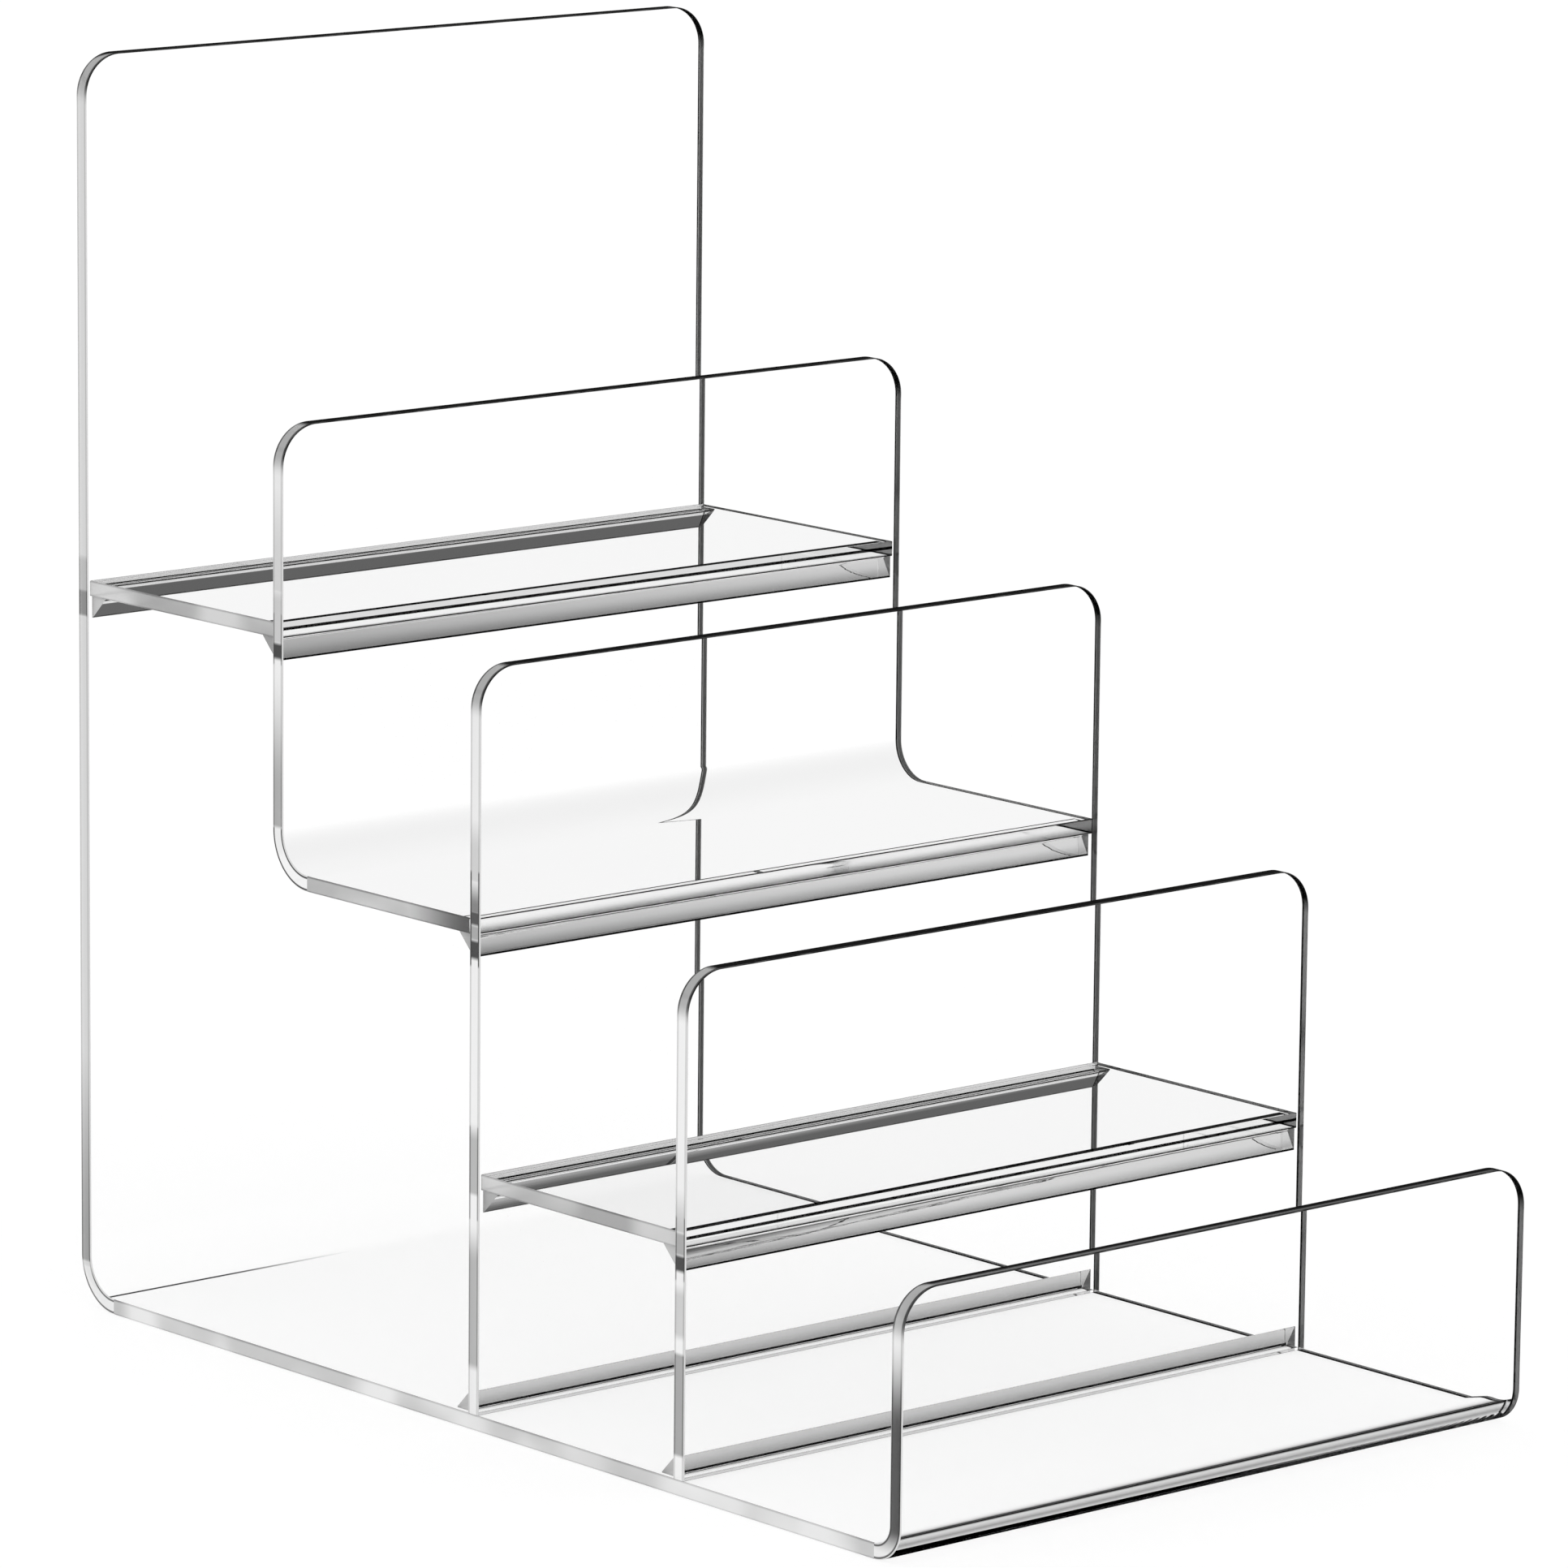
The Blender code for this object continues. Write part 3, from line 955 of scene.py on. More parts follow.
@dataclass
class AcrylicSheet:
    """One sheet of the riser, from its flat blank to the finished piece."""

    name: str
    width: float
    start: float
    end: float
    place: tuple[float, float, float]
    stance: Stance = Stance.LYING
    round_start: bool = False
    round_end: bool = False
    cement_start: bool = False
    cement_end: bool = False
    back_bend: HeatBend | None = None
    front_bend: HeatBend | None = None
    stock: SheetStock = SheetStock()

    @property
    def joint_line_start(self) -> float:
        """The height above the mid-plane where a cemented end's painted dark line starts."""
        return self.stock.thickness / 2 - self.stock.joint_line

    def ends(self, first: bool, second: bool) -> list[float]:
        """Returns the places of the ends that are wanted."""
        return [end for end, wanted in ((self.start, first), (self.end, second)) if wanted]

    def bend_rows(self) -> list[float]:
        """Returns the places along the blank where a bend needs a row of vertices."""
        rows = []
        for bend, way in ((self.back_bend, 1.0), (self.front_bend, -1.0)):
            if bend:
                step = way * bend.length / self.stock.bend_steps
                rows += [bend.start + step * count for count in range(self.stock.bend_steps + 1)]
        return rows

    def blank(self) -> bpy.types.Mesh:
        """Cuts the flat blank, with its rounded corners and the rows that its bends need.

        Returns:
            The blank's mesh, centred on its own mid-plane.
        """
        bm = bmesh.new()
        bmesh.ops.create_cube(bm, size=1.0)
        size = Vector((self.width, self.end - self.start, self.stock.thickness))
        middle = Vector((0.0, (self.start + self.end) / 2, 0.0))
        bmesh.ops.scale(bm, vec=size, verts=bm.verts)
        bmesh.ops.translate(bm, vec=middle, verts=bm.verts)
        corners = [edge for edge in bm.edges if self.is_corner(edge)]
        if corners:
            bmesh.ops.bevel(
                bm,
                geom=corners,
                offset=self.stock.corner_radius,
                offset_type="OFFSET",
                segments=self.stock.corner_steps,
                profile=0.5,
                affect="EDGES",
            )
        weight = bm.edges.layers.float.new("bevel_weight_edge")
        for edge in bm.edges:
            edge[weight] = float(self.is_broken(edge))
        cuts = [((0.0, row, 0.0), (0.0, 1.0, 0.0)) for row in self.bend_rows()]
        if self.cement_start or self.cement_end:
            line = self.joint_line_start
            cuts += [((0.0, 0.0, height), (0.0, 0.0, 1.0)) for height in (-line, line)]
        for point, way in cuts:
            everything = bm.verts[:] + bm.edges[:] + bm.faces[:]
            bmesh.ops.bisect_plane(bm, geom=everything, plane_co=point, plane_no=way)
        mesh = bpy.data.meshes.new(self.name)
        bm.to_mesh(mesh)
        bm.free()
        return mesh

    def is_broken(self, edge: bmesh.types.BMEdge) -> bool:
        """Tells whether an edge of the blank has its corner polished off.

        Args:
            edge: An edge of the plate.

        Returns:
            True for a sharp edge that isn't cemented to another piece.
        """
        one, two = (vert.co for vert in edge.verts)
        cemented = self.ends(self.cement_start, self.cement_end)
        in_joint = any(abs(one.y - end) < MM / 10 and abs(two.y - end) < MM / 10 for end in cemented)
        return edge.calc_face_angle() > self.stock.break_angle and not in_joint

    def is_corner(self, edge: bmesh.types.BMEdge) -> bool:
        """Tells whether an edge runs through the sheet at a corner that is rounded.

        Args:
            edge: An edge of the plain plate.

        Returns:
            True for such an edge.
        """
        one, two = (vert.co for vert in edge.verts)
        through = abs(one.z - two.z) > self.stock.thickness / 2
        rounded = self.ends(self.round_start, self.round_end)
        return through and any(abs(one.y - end) < MM for end in rounded)

    def build(self, tree: bpy.types.NodeTree, finishes: SheetFinishes) -> bpy.types.Object:
        """Makes the finished sheet.

        Args:
            tree: The tree that bends and dresses a blank.
            finishes: The sheet's finishes.

        Returns:
            The sheet, with its modifiers worked into its mesh.
        """
        blank = bpy.data.objects.new(self.name + "_blank", self.blank())
        bpy.context.scene.collection.objects.link(blank)
        broken = blank.modifiers.new("edge_break", "BEVEL")
        broken.width = self.stock.edge_break
        broken.segments = self.stock.break_steps
        broken.limit_method = "WEIGHT"
        bender = blank.modifiers.new("bend", "NODES")
        bender.node_group = tree
        still = HeatBend(0.0, 1.0, 0.0)
        values = {
            "Stance": self.stance.value,
            "Place": self.place,
            "Thickness": self.stock.thickness,
            "Line Start": self.joint_line_start,
            "First End": self.start if self.round_start else self.start - FAR,
            "Second End": self.end if self.round_end else self.end + FAR,
            "Start Cemented": float(self.cement_start),
            "End Cemented": float(self.cement_end),
            "Face Finish": finishes.face,
            "Flat Edge Finish": finishes.flat_edge,
            "Upright Edge Finish": finishes.upright_edge,
            "Arris Finish": finishes.arris,
            "Start Joint Finish": finishes.shelf_front if self.stance is Stance.LYING else finishes.joint,
            "End Joint Finish": finishes.joint,
            "Joint Line Finish": finishes.joint_line,
        }
        for end, bend in (("Back", self.back_bend or still), ("Front", self.front_bend or still)):
            sizes = (bend.start, bend.radius, bend.angle)
            values |= {f"{end} {size}": value for size, value in zip(BEND_SIZES, sizes)}
        set_inputs(bender, values)
        return bake(blank, self.name)


def bake(source: bpy.types.Object, name: str) -> bpy.types.Object:
    """Turns an object and its modifiers into one plain mesh object.

    Args:
        source: The object with its modifiers, which is removed.
        name: The new object's name.

    Returns:
        The plain object, at the origin.
    """
    bpy.context.view_layer.update()
    evaluated = source.evaluated_get(bpy.context.evaluated_depsgraph_get())
    mesh = bpy.data.meshes.new_from_object(evaluated)
    mesh.name = name
    piece = bpy.data.objects.new(name, mesh)
    bpy.context.scene.collection.objects.link(piece)
    bpy.data.objects.remove(source, do_unlink=True)
    return piece


@dataclass
class Sheets:
    """The six sheets: two that are bent, two flat uprights and two flat shelves."""

    stock: SheetStock = SheetStock()
    back_bend_radius: float = 10.5 * MM
    lip_bend_radius: float = 7.0 * MM
    second_bend_radius: float = 10.5 * MM
    joint_film: float = 0.03 * MM

    def mid(self, outer_radius: float) -> float:
        """Returns the radius at the middle of the sheet, given the outer one."""
        return outer_radius - self.stock.thickness / 2

    def main_sheet(self) -> AcrylicSheet:
        """Returns the back upright, base and front lip, one sheet with two bends."""
        low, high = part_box("back_base_lip")
        fourth_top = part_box("fourth_upright")[1].z
        lip_top = 2 * fourth_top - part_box("third_upright")[1].z
        back = HeatBend(high.y - self.back_bend_radius, self.mid(self.back_bend_radius))
        front = HeatBend(low.y + self.lip_bend_radius, self.mid(self.lip_bend_radius))
        return AcrylicSheet(
            name="back_base_lip_sheet",
            width=high.x - low.x,
            start=front.start - front.length - (lip_top - self.lip_bend_radius),
            end=back.start + back.length + (high.z - self.back_bend_radius),
            place=(0.0, 0.0, low.z + self.stock.thickness / 2),
            round_start=True,
            round_end=True,
            back_bend=back,
            front_bend=front,
            stock=self.stock,
        )

    def second_sheet(self) -> AcrylicSheet:
        """Returns the second upright and the middle tier's floor, one sheet with one bend."""
        low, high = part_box("second_upright_shelf")
        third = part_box("third_upright")[1]
        back = HeatBend(high.y - self.second_bend_radius, self.mid(self.second_bend_radius))
        rise = high.z - low.z - self.second_bend_radius
        return AcrylicSheet(
            name="second_upright_shelf_sheet",
            width=high.x - low.x,
            start=third.y + self.joint_film,
            end=back.start + back.length + rise,
            place=(0.0, 0.0, low.z + self.stock.thickness / 2),
            round_end=True,
            cement_start=True,
            back_bend=back,
            stock=self.stock,
        )

    def upright(self, node: str) -> AcrylicSheet:
        """Returns a flat upright that stands on the base.

        Args:
            node: The upright's node.
        """
        low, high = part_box(node)
        foot = self.stock.thickness + self.joint_film
        return AcrylicSheet(
            name=node + "_sheet",
            width=high.x - low.x,
            start=0.0,
            end=high.z - foot,
            place=(0.0, (low.y + high.y) / 2, foot),
            stance=Stance.UPRIGHT,
            round_end=True,
            cement_start=True,
            stock=self.stock,
        )

    def shelf(self, node: str, front_node: str, rear_face: float) -> AcrylicSheet:
        """Returns a flat shelf that fills the space between two uprights.

        Args:
            node: The shelf's node.
            front_node: The upright in front of it.
            rear_face: The front face of the upright behind it.
        """
        low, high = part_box(node)
        front_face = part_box(front_node)[1].y
        return AcrylicSheet(
            name=node + "_sheet",
            width=high.x - low.x,
            start=front_face + self.joint_film,
            end=rear_face - self.joint_film,
            place=(0.0, 0.0, (low.z + high.z) / 2),
            cement_start=True,
            cement_end=True,
            stock=self.stock,
        )

    def build(self, finishes: SheetFinishes, own: dict[str, SheetFinishes]) -> None:
        """Makes all six sheets and puts each in the place of its node.

        Args:
            finishes: The finishes of a plain sheet.
            own: The finishes of the sheets that differ from it, by node.
        """
        back_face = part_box("back_base_lip")[1].y - self.stock.thickness
        third_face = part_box("third_upright")[0].y
        plans = {
            "back_base_lip": self.main_sheet(),
            "second_upright_shelf": self.second_sheet(),
            "third_upright": self.upright("third_upright"),
            "fourth_upright": self.upright("fourth_upright"),
            "top_shelf": self.shelf("top_shelf", "second_upright_shelf", back_face),
            "low_shelf": self.shelf("low_shelf", "fourth_upright", third_face),
        }
        tree = bent_sheet_tree()
        for node, plan in plans.items():
            piece = plan.build(tree, own.get(node, finishes))
            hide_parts(node)
            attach(piece, ROOT_BODY)
            LOG.info("%s: %d faces", piece.name, len(piece.data.polygons))


# Painted shade on each upright's sawn edge: the stretches where it mirrors joints, rods and bends, and the
# stretches with strong painted dark outlines
UPRIGHT_EDGES = {
    "back_base_lip": PolishedEdge(
        name="back_and_lip_edge",
        shades=(
            EdgeShade(3.5 * MM, 34.0 * MM, soft_low=3.0 * MM, soft_high=9.0 * MM, rear=0.0),
            EdgeShade(8.0 * MM, 250.0 * MM, 0.24, front=0.0),
            EdgeShade(9.0 * MM, 45.0 * MM, 0.66, soft_high=32.0 * MM, front=0.0),
            EdgeShade(137.0 * MM, 142.3 * MM, 0.76, soft_high=0.8 * MM),
            EdgeShade(141.0 * MM, 149.0 * MM, 0.46, soft_high=1.5 * MM),
        ),
        outlined=(EdgeShade(-1.0 * MM, 8.0 * MM, 0.9, soft_high=3.0 * MM),),
    ),
    "second_upright_shelf": PolishedEdge(
        name="second_upright_edge",
        dark=0.035,
        shades=(
            EdgeShade(105.0 * MM, 124.0 * MM, 0.56, soft_high=12.0 * MM),
            EdgeShade(137.2 * MM, 140.2 * MM),
            EdgeShade(140.2 * MM, 150.0 * MM, 0.34, soft_high=2.0 * MM),
            EdgeShade(150.0 * MM, 166.0 * MM, 0.27, soft_high=10.0 * MM),
        ),
        outlined=(EdgeShade(90.0 * MM, 105.0 * MM), EdgeShade(136.0 * MM, 146.0 * MM, 0.7)),
    ),
    "third_upright": PolishedEdge(
        name="third_upright_edge",
        dark=0.035,
        shades=(
            EdgeShade(12.0 * MM, 36.0 * MM, 0.5, soft_low=1.0 * MM, soft_high=4.0 * MM),
            EdgeShade(45.0 * MM, 57.0 * MM, 0.5, soft_high=2.0 * MM),
            EdgeShade(89.5 * MM, 93.0 * MM),
            EdgeShade(93.0 * MM, 95.8 * MM, 0.6),
            EdgeShade(95.8 * MM, 98.5 * MM, 0.97),
            EdgeShade(98.0 * MM, 102.5 * MM, 0.8, soft_high=3.0 * MM),
            EdgeShade(104.0 * MM, 114.0 * MM, 0.32, soft_high=4.0 * MM),
        ),
        outlined=(EdgeShade(40.0 * MM, 58.0 * MM, 0.7), EdgeShade(88.0 * MM, 106.0 * MM)),
    ),
    "fourth_upright": PolishedEdge(
        name="fourth_upright_edge",
        dark=0.035,
        shades=(
            EdgeShade(7.5 * MM, 26.5 * MM, 0.62),
            EdgeShade(29.5 * MM, 38.5 * MM, 0.34, soft_low=1.0 * MM, soft_high=1.5 * MM),
            EdgeShade(41.8 * MM, 44.8 * MM),
            EdgeShade(44.8 * MM, 49.0 * MM, 0.6),
            EdgeShade(49.0 * MM, 54.0 * MM, 0.42, soft_high=5.0 * MM),
        ),
        outlined=(EdgeShade(40.0 * MM, 52.0 * MM, 0.7),),
    ),
}
# Painted shade of a flat edge seen through its sheet
SEEN_THROUGH = InsideLook(core=0.04, rim=0.01, clear_core=0.25)
# A sawn edge that lies flat: a paler tone with painted shade that varies at random along it, and soft
# painted outlines
FLAT_EDGE = PolishedEdge(
    name="flat_edge",
    pale=0.64,
    dark=0.18,
    outline=0.05,
    outline_start=0.72,
    outline_end=0.9,
    soft_outline=0.35,
    shade_axis="Y",
    drift_depth=0.6,
    drift_scale=55.0,
    front_inside=SEEN_THROUGH,
    rear_inside=SEEN_THROUGH,
    corner_end=0.0,
    clear_share=0.15,
    roughness=0.15,
    streak_height=0.002 * MM,
    glance_start=0.9,
    glance_end=1.0,
)
# Painted shade near the back bend on the base's edge, and near the third upright on the middle shelf's edge
FLAT_EDGES = {
    "back_base_lip": replace(
        FLAT_EDGE,
        name="base_edge",
        pale=0.84,
        drift_depth=0.42,
        soft_outline=0.25,
        shades=(EdgeShade(106.0 * MM, 130.0 * MM, 0.5, soft_low=3.0 * MM),),
    ),
    "second_upright_shelf": replace(
        FLAT_EDGE,
        name="middle_shelf_edge",
        dark=0.06,
        drift_depth=0.35,
        soft_outline=0.55,
        shades=(EdgeShade(-9.0 * MM, 13.0 * MM, soft_high=12.0 * MM),),
    ),
}


class RodSeat(Enum):
    """Which corner a rod sits in; the value is its quarter turns about X."""

    UNDER_SHELF_BEFORE_WALL = 0
    UNDER_SHELF_BEHIND_WALL = 1
    ON_BASE_BEHIND_WALL = 2

    def corner(self, low: Vector, high: Vector, shift: float) -> Vector:
        """Returns the square corner of a rod's section, moved into its joint.

        Args:
            low: The lowest corner of the rod's box.
            high: The highest corner of the rod's box.
            shift: How far the rod moves towards each face that it is cemented to.
        """
        before = self is RodSeat.UNDER_SHELF_BEFORE_WALL
        under = self is not RodSeat.ON_BASE_BEHIND_WALL
        along = high.y + shift if before else low.y - shift
        height = high.z + shift if under else low.z - shift
        return Vector((0.0, along, height))


ROD_SEATS = {
    "top_shelf_rear_rod": RodSeat.UNDER_SHELF_BEFORE_WALL,
    "top_shelf_front_rod": RodSeat.UNDER_SHELF_BEHIND_WALL,
    "middle_shelf_front_rod": RodSeat.UNDER_SHELF_BEHIND_WALL,
    "low_shelf_rear_rod": RodSeat.UNDER_SHELF_BEFORE_WALL,
    "low_shelf_front_rod": RodSeat.UNDER_SHELF_BEHIND_WALL,
    "third_upright_foot_rod": RodSeat.ON_BASE_BEHIND_WALL,
    "fourth_upright_foot_rod": RodSeat.ON_BASE_BEHIND_WALL,
}
RODS_SEEN_FROM_ABOVE = ("top_shelf_front_rod", "low_shelf_front_rod")


@dataclass
class CornerRods:
    """The triangular rods that brace the inner corners."""

    crown: float = 0.05 * MM
    blunt: float = 0.1 * MM
    blunt_steps: int = 4
    side_cuts: int = 12
    slope_start: float = 0.999
    tip_start: float = 0.72
    tip_depth: float = 0.9
    square_look: float = 0.9
    down_look: float = 0.2
    joint_film: float = 0.03 * MM
    cad_gap: float = 0.3 * MM

    def section(self, wiring: Wiring, given: bpy.types.bpy_prop_collection) -> bpy.types.NodeSocket:
        """Draws a rod's section: a right-angled triangle with blunt corners and a crowned slope.

        Args:
            wiring: The tree.
            given: The tree's inputs.

        Returns:
            The section, with its square corner at the origin.
        """
        circle = wiring.node("GeometryNodeCurvePrimitiveCircle", {"Resolution": 3})
        order = wiring.node("GeometryNodeInputIndex").outputs[0]
        corner = {}
        for axis, point in (("X", 1.0), ("Y", 2.0)):
            corner[axis] = wiring.times(wiring.math("COMPARE", order, point, 0.5), given["Leg"])
        triangle = wiring.node("GeometryNodeSetPosition", {"Geometry": circle.outputs["Curve"]})
        wiring.fill(triangle, {"Position": wiring.vector(**corner)})
        blunt = wiring.node("GeometryNodeFilletCurve", {"Curve": triangle.outputs["Geometry"]}, mode="POLY")
        wiring.fill(blunt, {"Count": self.blunt_steps, "Radius": given["Blunt"], "Limit Radius": True})
        cut = wiring.node("GeometryNodeSubdivideCurve", {"Curve": blunt.outputs["Curve"]})
        wiring.fill(cut, {"Cuts": self.side_cuts})

        place = wiring.position()
        total = wiring.math("DIVIDE", wiring.math("ADD", place["X"], place["Y"]), given["Leg"])
        split = wiring.math("DIVIDE", wiring.less(place["X"], place["Y"]), given["Leg"])
        bulge = wiring.less(1.0, wiring.times(split, split))
        on_slope = wiring.above(total, self.slope_start)
        push = wiring.times(bulge, on_slope, given["Crown"], math.sqrt(0.5))
        crowned = wiring.node("GeometryNodeSetPosition", {"Geometry": cut.outputs["Curve"]})
        wiring.fill(crowned, {"Offset": wiring.vector(X=push, Y=push)})
        return crowned.outputs["Geometry"]

    def rod(self, wiring: Wiring, given: bpy.types.bpy_prop_collection) -> bpy.types.NodeSocket:
        """Draws one rod out to its length, and marks its tips and how far its legs reach.

        Args:
            wiring: The tree.
            given: The tree's inputs.

        Returns:
            The rod, along X.
        """
        reach = wiring.times(given["Length"], 0.5)
        ends = {"Start": wiring.vector(X=wiring.times(reach, -1.0)), "End": wiring.vector(X=reach)}
        line = wiring.node("GeometryNodeCurvePrimitiveLine", ends)
        drawn = wiring.node("GeometryNodeCurveToMesh", {"Curve": line.outputs["Curve"], "Fill Caps": True})
        wiring.fill(drawn, {"Profile Curve": self.section(wiring, given)})
        around = wiring.position()
        depth = wiring.unsigned(wiring.math("ADD", around["Y"], around["Z"]))
        tilt = wiring.unsigned(wiring.less(around["Y"], around["Z"]))
        thin = wiring.above(wiring.math("DIVIDE", tilt, given["Leg"]), self.tip_start)
        outer = wiring.above(wiring.math("DIVIDE", depth, given["Leg"]), self.tip_depth)
        geometry = wiring.store(drawn.outputs["Mesh"], "tip", wiring.times(thin, outer))
        for label, along, beside in (("reach", "Y", "Z"), ("run", "Z", "Y")):
            on_leg = wiring.below(wiring.unsigned(around[beside]), self.blunt / 2)
            share = wiring.math("DIVIDE", wiring.unsigned(around[along]), given["Leg"])
            geometry = wiring.store(geometry, label, wiring.times(share, on_leg), "POINT")
        return geometry

    def tree(self) -> bpy.types.NodeTree:
        """Builds the tree that draws one rod and lays it in every corner.

        Returns:
            The tree, whose inputs are the rod's sizes and its three finishes.
        """
        inputs = dict.fromkeys(("Leg", "Length", "Crown", "Blunt"), NUMBER)
        inputs |= dict.fromkeys(("Side Finish", "End Finish", "Tip Finish"), FINISH)
        tree = new_geometry_tree("corner_rods", inputs)
        wiring = Wiring(tree)
        given = wiring.node("NodeGroupInput").outputs
        laid = wiring.node("GeometryNodeInstanceOnPoints", {"Points": given["Geometry"]})
        turn = wiring.vector(X=wiring.mark("turn"))
        wiring.fill(laid, {"Instance": self.rod(wiring, given), "Rotation": turn})
        geometry = wiring.node("GeometryNodeRealizeInstances", {0: laid.outputs[0]}).outputs[0]

        hidden_leg = wiring.times(wiring.mark("run"), wiring.mark("seen_from_above"))
        shown_leg = wiring.less(wiring.mark("reach"), hidden_leg)
        geometry = wiring.store(geometry, "reach", shown_leg, "POINT")
        normal = wiring.normal()
        geometry = wiring.store(geometry, "on_base", wiring.below(normal["Z"], -self.square_look))
        is_end = wiring.above(wiring.unsigned(normal["X"]), self.square_look)
        is_tip = wiring.times(wiring.mark("tip"), wiring.below(normal["Z"], -self.down_look))
        geometry = wiring.dress(geometry, given["Side Finish"])
        geometry = wiring.dress(geometry, given["End Finish"], is_end)
        geometry = wiring.dress(geometry, given["Tip Finish"], is_tip)
        wiring.node("NodeGroupOutput", {"Geometry": geometry})
        return tree

    def build(self, side: bpy.types.Material, end: bpy.types.Material, tip: bpy.types.Material) -> None:
        """Makes all the rods as one piece and puts it in the place of their nodes.

        Args:
            side: The finish of the drawn sides.
            end: The finish of the sawn ends.
            tip: The finish of the two thin tips of a rod's section.
        """
        shift = self.cad_gap - self.joint_film
        boxes = {node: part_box(node) for node in ROD_SEATS}
        corners = [seat.corner(*boxes[node], shift) for node, seat in ROD_SEATS.items()]
        mesh = bpy.data.meshes.new("rod_corners")
        mesh.from_pydata(corners, [], [])
        turns = mesh.attributes.new("turn", "FLOAT", "POINT")
        for point, seat in zip(turns.data, ROD_SEATS.values()):
            point.value = seat.value * RIGHT_ANGLE
        seen = mesh.attributes.new("seen_from_above", "FLOAT", "POINT")
        for point, node in zip(seen.data, ROD_SEATS):
            point.value = float(node in RODS_SEEN_FROM_ABOVE)
        points = bpy.data.objects.new("rod_corners", mesh)
        bpy.context.scene.collection.objects.link(points)
        low, high = boxes["low_shelf_front_rod"]
        drawing = points.modifiers.new("draw", "NODES")
        drawing.node_group = self.tree()
        sizes = {"Leg": high.z - low.z, "Length": high.x - low.x, "Crown": self.crown, "Blunt": self.blunt}
        set_inputs(drawing, sizes | {"Side Finish": side, "End Finish": end, "Tip Finish": tip})
        piece = bake(points, "corner_rods")
        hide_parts(*ROD_SEATS)
        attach(piece, ROOT_BODY)
        LOG.info("%s: %d faces", piece.name, len(piece.data.polygons))


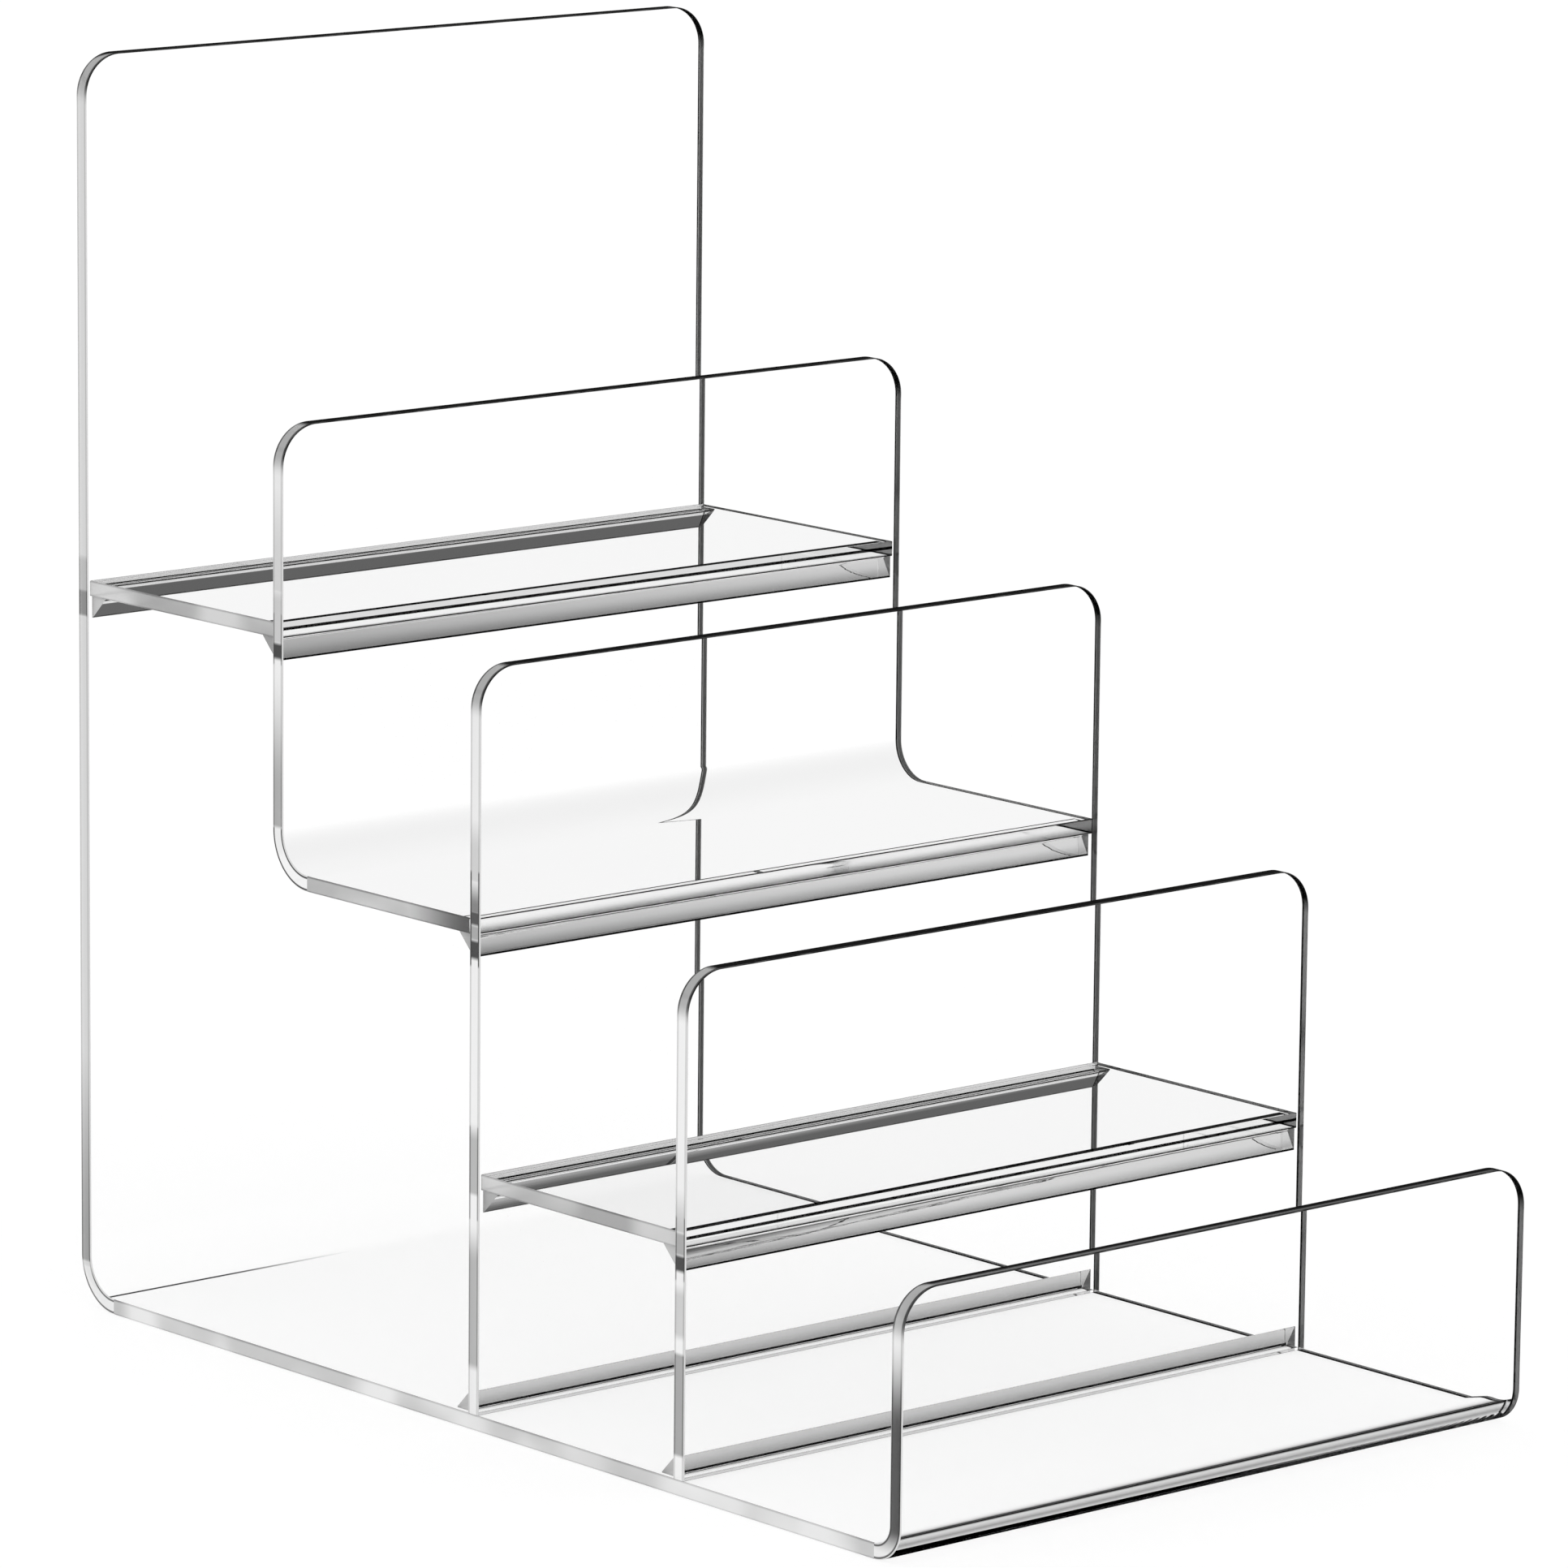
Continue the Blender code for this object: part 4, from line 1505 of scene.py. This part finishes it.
@dataclass
class Studio:
    """Pale floor, soft light and the camera, none of them part of the riser."""

    floor_radius: float = 20.0
    floor_drop: float = 0.1 * MM
    floor_white: float = 0.2
    floor_glow: float = 0.83
    # The floor glows less where it is seen mirrored: painted shade in its reflections
    mirrored_glow: float = 0.55
    outside: float = 0.5 * MM
    bend_reach: float = 10.0 * MM
    side_reach: float = 3.0 * MM
    # Painted shadow lines on the floor under the lip's bend and the back's bend, as tones over the share of
    # the bend's reach: seen mirrored, and seen straight through the riser
    lip_mirrored: tuple[tuple[float, float], ...] = (
        (0.0, 1.0),
        (0.08, 0.01),
        (0.28, 0.01),
        (0.36, 1.0),
        (0.46, 0.9),
        (0.6, 0.5),
        (0.75, 0.85),
        (1.0, 1.0),
    )
    lip_straight: tuple[tuple[float, float], ...] = (
        (0.0, 1.0),
        (0.1, 0.01),
        (0.24, 0.01),
        (0.28, 0.5),
        (0.34, 0.5),
        (0.38, 0.01),
        (0.5, 0.01),
        (0.6, 0.1),
        (0.7, 0.5),
        (0.85, 0.85),
        (1.0, 1.0),
    )
    back_straight: tuple[tuple[float, float], ...] = (
        (0.0, 1.0),
        (0.5, 1.0),
        (0.54, 0.03),
        (0.61, 0.03),
        (0.67, 1.0),
        (1.0, 1.0),
    )
    back_line_start: float = -50.0 * MM
    back_line_end: float = -10.0 * MM
    horizon_stops: tuple[tuple[float, float], ...] = (
        (-90.0, 1.0),
        (16.0, 1.0),
        (20.0, 0.14),
        (24.0, 0.14),
        (27.0, 0.75),
        (46.0, 0.7),
        (51.0, 0.4),
        (56.0, 0.4),
        (70.0, 0.9),
        (90.0, 0.9),
    )
    deep_bounces: float = 2.5
    deep_light: float = 0.9
    azimuth: float = math.radians(-41.069)
    elevation: float = math.radians(10.973)
    roll: float = math.radians(0.601)
    distance: float = 1.7212
    aim: tuple[float, float, float] = (-0.00157, 0.0, 0.11312)
    lens: float = 209.11
    sensor: float = 36.0

    def build(self) -> None:
        """Sets up the floor, the light and the camera."""
        self.floor()
        self.world()
        self.camera()
        scene = bpy.context.scene
        scene.view_settings.view_transform = "Standard"
        scene.cycles.max_bounces = 32
        scene.cycles.transmission_bounces = 32
        scene.cycles.glossy_bounces = 32
        scene.cycles.diffuse_bounces = 3

    def floor(self) -> None:
        """Lays the pale floor just under the riser, with painted shadow under its bends and painted shade
        where it is seen mirrored.
        """
        bm = bmesh.new()
        bmesh.ops.create_circle(bm, cap_ends=True, segments=64, radius=self.floor_radius)
        bmesh.ops.translate(bm, vec=(0.0, 0.0, -self.floor_drop), verts=bm.verts)
        mesh = bpy.data.meshes.new("floor")
        bm.to_mesh(mesh)
        bm.free()
        material, wiring, shader = new_material("floor_paper")
        place = wiring.place()
        mirrored = wiring.times(wiring.had("Glossy"), wiring.had_no("Diffuse"))
        passed = wiring.times(wiring.had("Transmission"), wiring.had_no("Diffuse"))
        # Painted shadow under the bends, shown only beneath the riser and only through it
        under_lip = self.floor_under(wiring, place["Y"], CAD_BOX[0].y, 1.0)
        under_back = self.floor_under(wiring, place["Y"], CAD_BOX[1].y, -1.0)
        beyond = wiring.fade(place["X"], self.back_line_start, self.back_line_end)
        back = wiring.blend(beyond, self.ramp(wiring, under_back, self.back_straight), grey(1.0))
        straight = self.ramp(wiring, under_lip, self.lip_straight)
        straight = wiring.blend(wiring.above(place["Y"], 0.0), straight, back)
        beneath = wiring.below(wiring.unsigned(place["X"]), CAD_BOX[1].x + self.side_reach)
        reversed_tone = wiring.blend(beneath, grey(1.0), self.ramp(wiring, under_lip, self.lip_mirrored))
        shown = wiring.blend(wiring.times(passed, beneath), grey(1.0), straight)
        shown = wiring.blend(mirrored, shown, reversed_tone)
        paper = wiring.blend(1.0, shown, grey(self.floor_white), "MULTIPLY")
        glow = {"Value": mirrored, "To Min": self.floor_glow, "To Max": self.mirrored_glow}
        strength = wiring.node("ShaderNodeMapRange", glow).outputs[0]
        wiring.fill(shader, {"Base Color": paper, "Roughness": 1.0, "Specular IOR Level": 0.0})
        wiring.fill(shader, {"Emission Color": shown, "Emission Strength": strength})
        mesh.materials.append(material)
        floor = bpy.data.objects.new("floor", mesh)
        bpy.context.scene.collection.objects.link(floor)

    def floor_under(
        self, wiring: Wiring, place: object, end: float, way: float
    ) -> bpy.types.NodeSocket:
        """Measures how far under a bend a point of the floor is.

        Args:
            wiring: The material's tree.
            place: The point's place from front to back.
            end: The riser's front or rear.
            way: The way from there to its middle, 1 or -1.

        Returns:
            The share of the bend's reach, counted from just outside the riser.
        """
        into = wiring.math("MULTIPLY_ADD", place, way, self.outside - way * end)
        return wiring.math("DIVIDE", into, self.bend_reach)

    def world(self) -> None:
        """Surrounds the riser with white to the horizon and darker air above it."""
        world = bpy.data.worlds.new("studio")
        bpy.context.scene.world = world
        world.use_nodes = True
        wiring = Wiring(world.node_tree)
        direction = wiring.axes(wiring.node("ShaderNodeTexCoord").outputs["Generated"])
        level = wiring.math("MULTIPLY_ADD", direction["Z"], 0.5, 0.5)
        heights = [
            (0.5 + 0.5 * math.sin(math.radians(height)), tone) for height, tone in self.horizon_stops
        ]
        sky = self.ramp(wiring, level, heights)
        turned = wiring.largest(wiring.had("Glossy"), wiring.had("Transmission"))
        bent = wiring.times(turned, wiring.had_no("Diffuse"))
        deep = wiring.above(wiring.bounces("Glossy"), self.deep_bounces)
        seen = wiring.blend(deep, sky, grey(self.deep_light))
        wiring.fill(world.node_tree.nodes["Background"], {"Color": wiring.blend(bent, grey(1.0), seen)})

    def ramp(self, wiring: Wiring, value: object, stops: object) -> bpy.types.NodeSocket:
        """Turns a value into a grey tone that follows a row of stops.

        Args:
            wiring: The tree that it goes into.
            value: The value, from 0 to 1.
            stops: Pairs of a place and a tone, in order.

        Returns:
            The colour.
        """
        made = wiring.node("ShaderNodeValToRGB")
        wiring.feed(made.inputs[0], value)
        elements = made.color_ramp.elements
        while len(elements) < len(stops):
            elements.new(1.0)
        for element, (position, tone) in zip(elements, stops):
            element.position = position
            element.color = grey(tone)
        return made.outputs[0]

    def camera(self) -> None:
        """Stands the camera where the picture was taken from."""
        away = Vector(
            (
                math.sin(self.azimuth) * math.cos(self.elevation),
                -math.cos(self.azimuth) * math.cos(self.elevation),
                math.sin(self.elevation),
            )
        )
        right = Vector((math.cos(self.azimuth), math.sin(self.azimuth), 0.0))
        level_up = away.cross(right)
        side = math.cos(self.roll) * right + math.sin(self.roll) * level_up
        up = math.cos(self.roll) * level_up - math.sin(self.roll) * right
        camera = bpy.data.objects.new("camera", bpy.data.cameras.new("camera"))
        camera.data.lens = self.lens
        camera.data.sensor_width = self.sensor
        camera.matrix_world = Matrix.LocRotScale(
            Vector(self.aim) + away * self.distance,
            Matrix((side, up, away)).transposed(),
            None,
        )
        bpy.context.scene.collection.objects.link(camera)
        bpy.context.scene.camera = camera


# The front end of a shelf: painted shade towards its lower side and a painted dark line along its middle
SHELF_FRONT = ClearFace(
    name="shelf_front",
    streak=(20.0, 900.0, 900.0),
    streak_height=0.002 * MM,
    shade_mark="across",
    shade_start=-0.6,
    shade_end=-0.95,
    shade=0.1,
    line_mark="across",
    line_from=0.12,
    line_start=0.24,
    line_end=0.16,
)
# The front of the bent middle shelf: painted shade towards its lower side, with no painted line
BENT_SHELF_FRONT = replace(
    SHELF_FRONT, name="bent_shelf_front", shade_start=0.4, shade_end=-1.0, shade=0.25, line_mark=""
)
# The drawn sides of a rod: painted shade towards the end of its shown leg, and painted dark lines near the
# tips of its legs
DRAWN_ROD = ClearFace(
    name="drawn_rod",
    tint=0.97,
    streak=(8.0, 900.0, 900.0),
    streak_height=0.002 * MM,
    shade_mark="reach",
    shade_start=0.3,
    shade_end=1.0,
    shade=0.5,
    line_mark="reach",
    line_from=0.2,
    line_start=0.7,
    line_end=0.74,
    open_mark="on_base",
)
# The sawn ends of the rods: the flat edge's painted tones, without painted outlines
ROD_END = replace(FLAT_EDGE, name="rod_end", outline_start=1.5, outline_end=2.0)


def main() -> None:
    """Builds the riser and the studio, in order."""
    logging.basicConfig(level=logging.INFO, format="%(message)s")
    effects = Effects()
    flat_edge = FLAT_EDGE.material(effects)
    finishes = SheetFinishes(
        # a plain face, with painted shade where it lies flat and where it bends
        face=ClearFace(lying_shade=0.955, bend=0.93).material(effects),
        flat_edge=flat_edge,
        upright_edge=flat_edge,
        # the arrises of the uprights' edges: a painted black line, painted pale from outside past the
        # corner
        arris=DarkLine(name="edge_arris", pale=0.7).material(effects),
        joint=ClearFace(name="cemented_joint", tint=0.97, smudge_roughness=0.1).material(effects),
        shelf_front=SHELF_FRONT.material(effects),
        joint_line=DarkLine(name="joint_line").material(effects),
    )
    bent_front = BENT_SHELF_FRONT.material(effects)
    own = {}
    for node, edge in UPRIGHT_EDGES.items():
        own[node] = replace(finishes, upright_edge=edge.material(effects))
        if node in FLAT_EDGES:
            base_edge = FLAT_EDGES[node].material(effects)
            own[node] = replace(own[node], flat_edge=base_edge, shelf_front=bent_front)
    Sheets().build(finishes, own)
    # the painted black line along the thin tips of the rods
    tip = DarkLine(name="rod_tip").material(effects)
    CornerRods().build(DRAWN_ROD.material(effects), ROD_END.material(effects), tip)
    Studio().build()


if __name__ == "__main__":
    main()
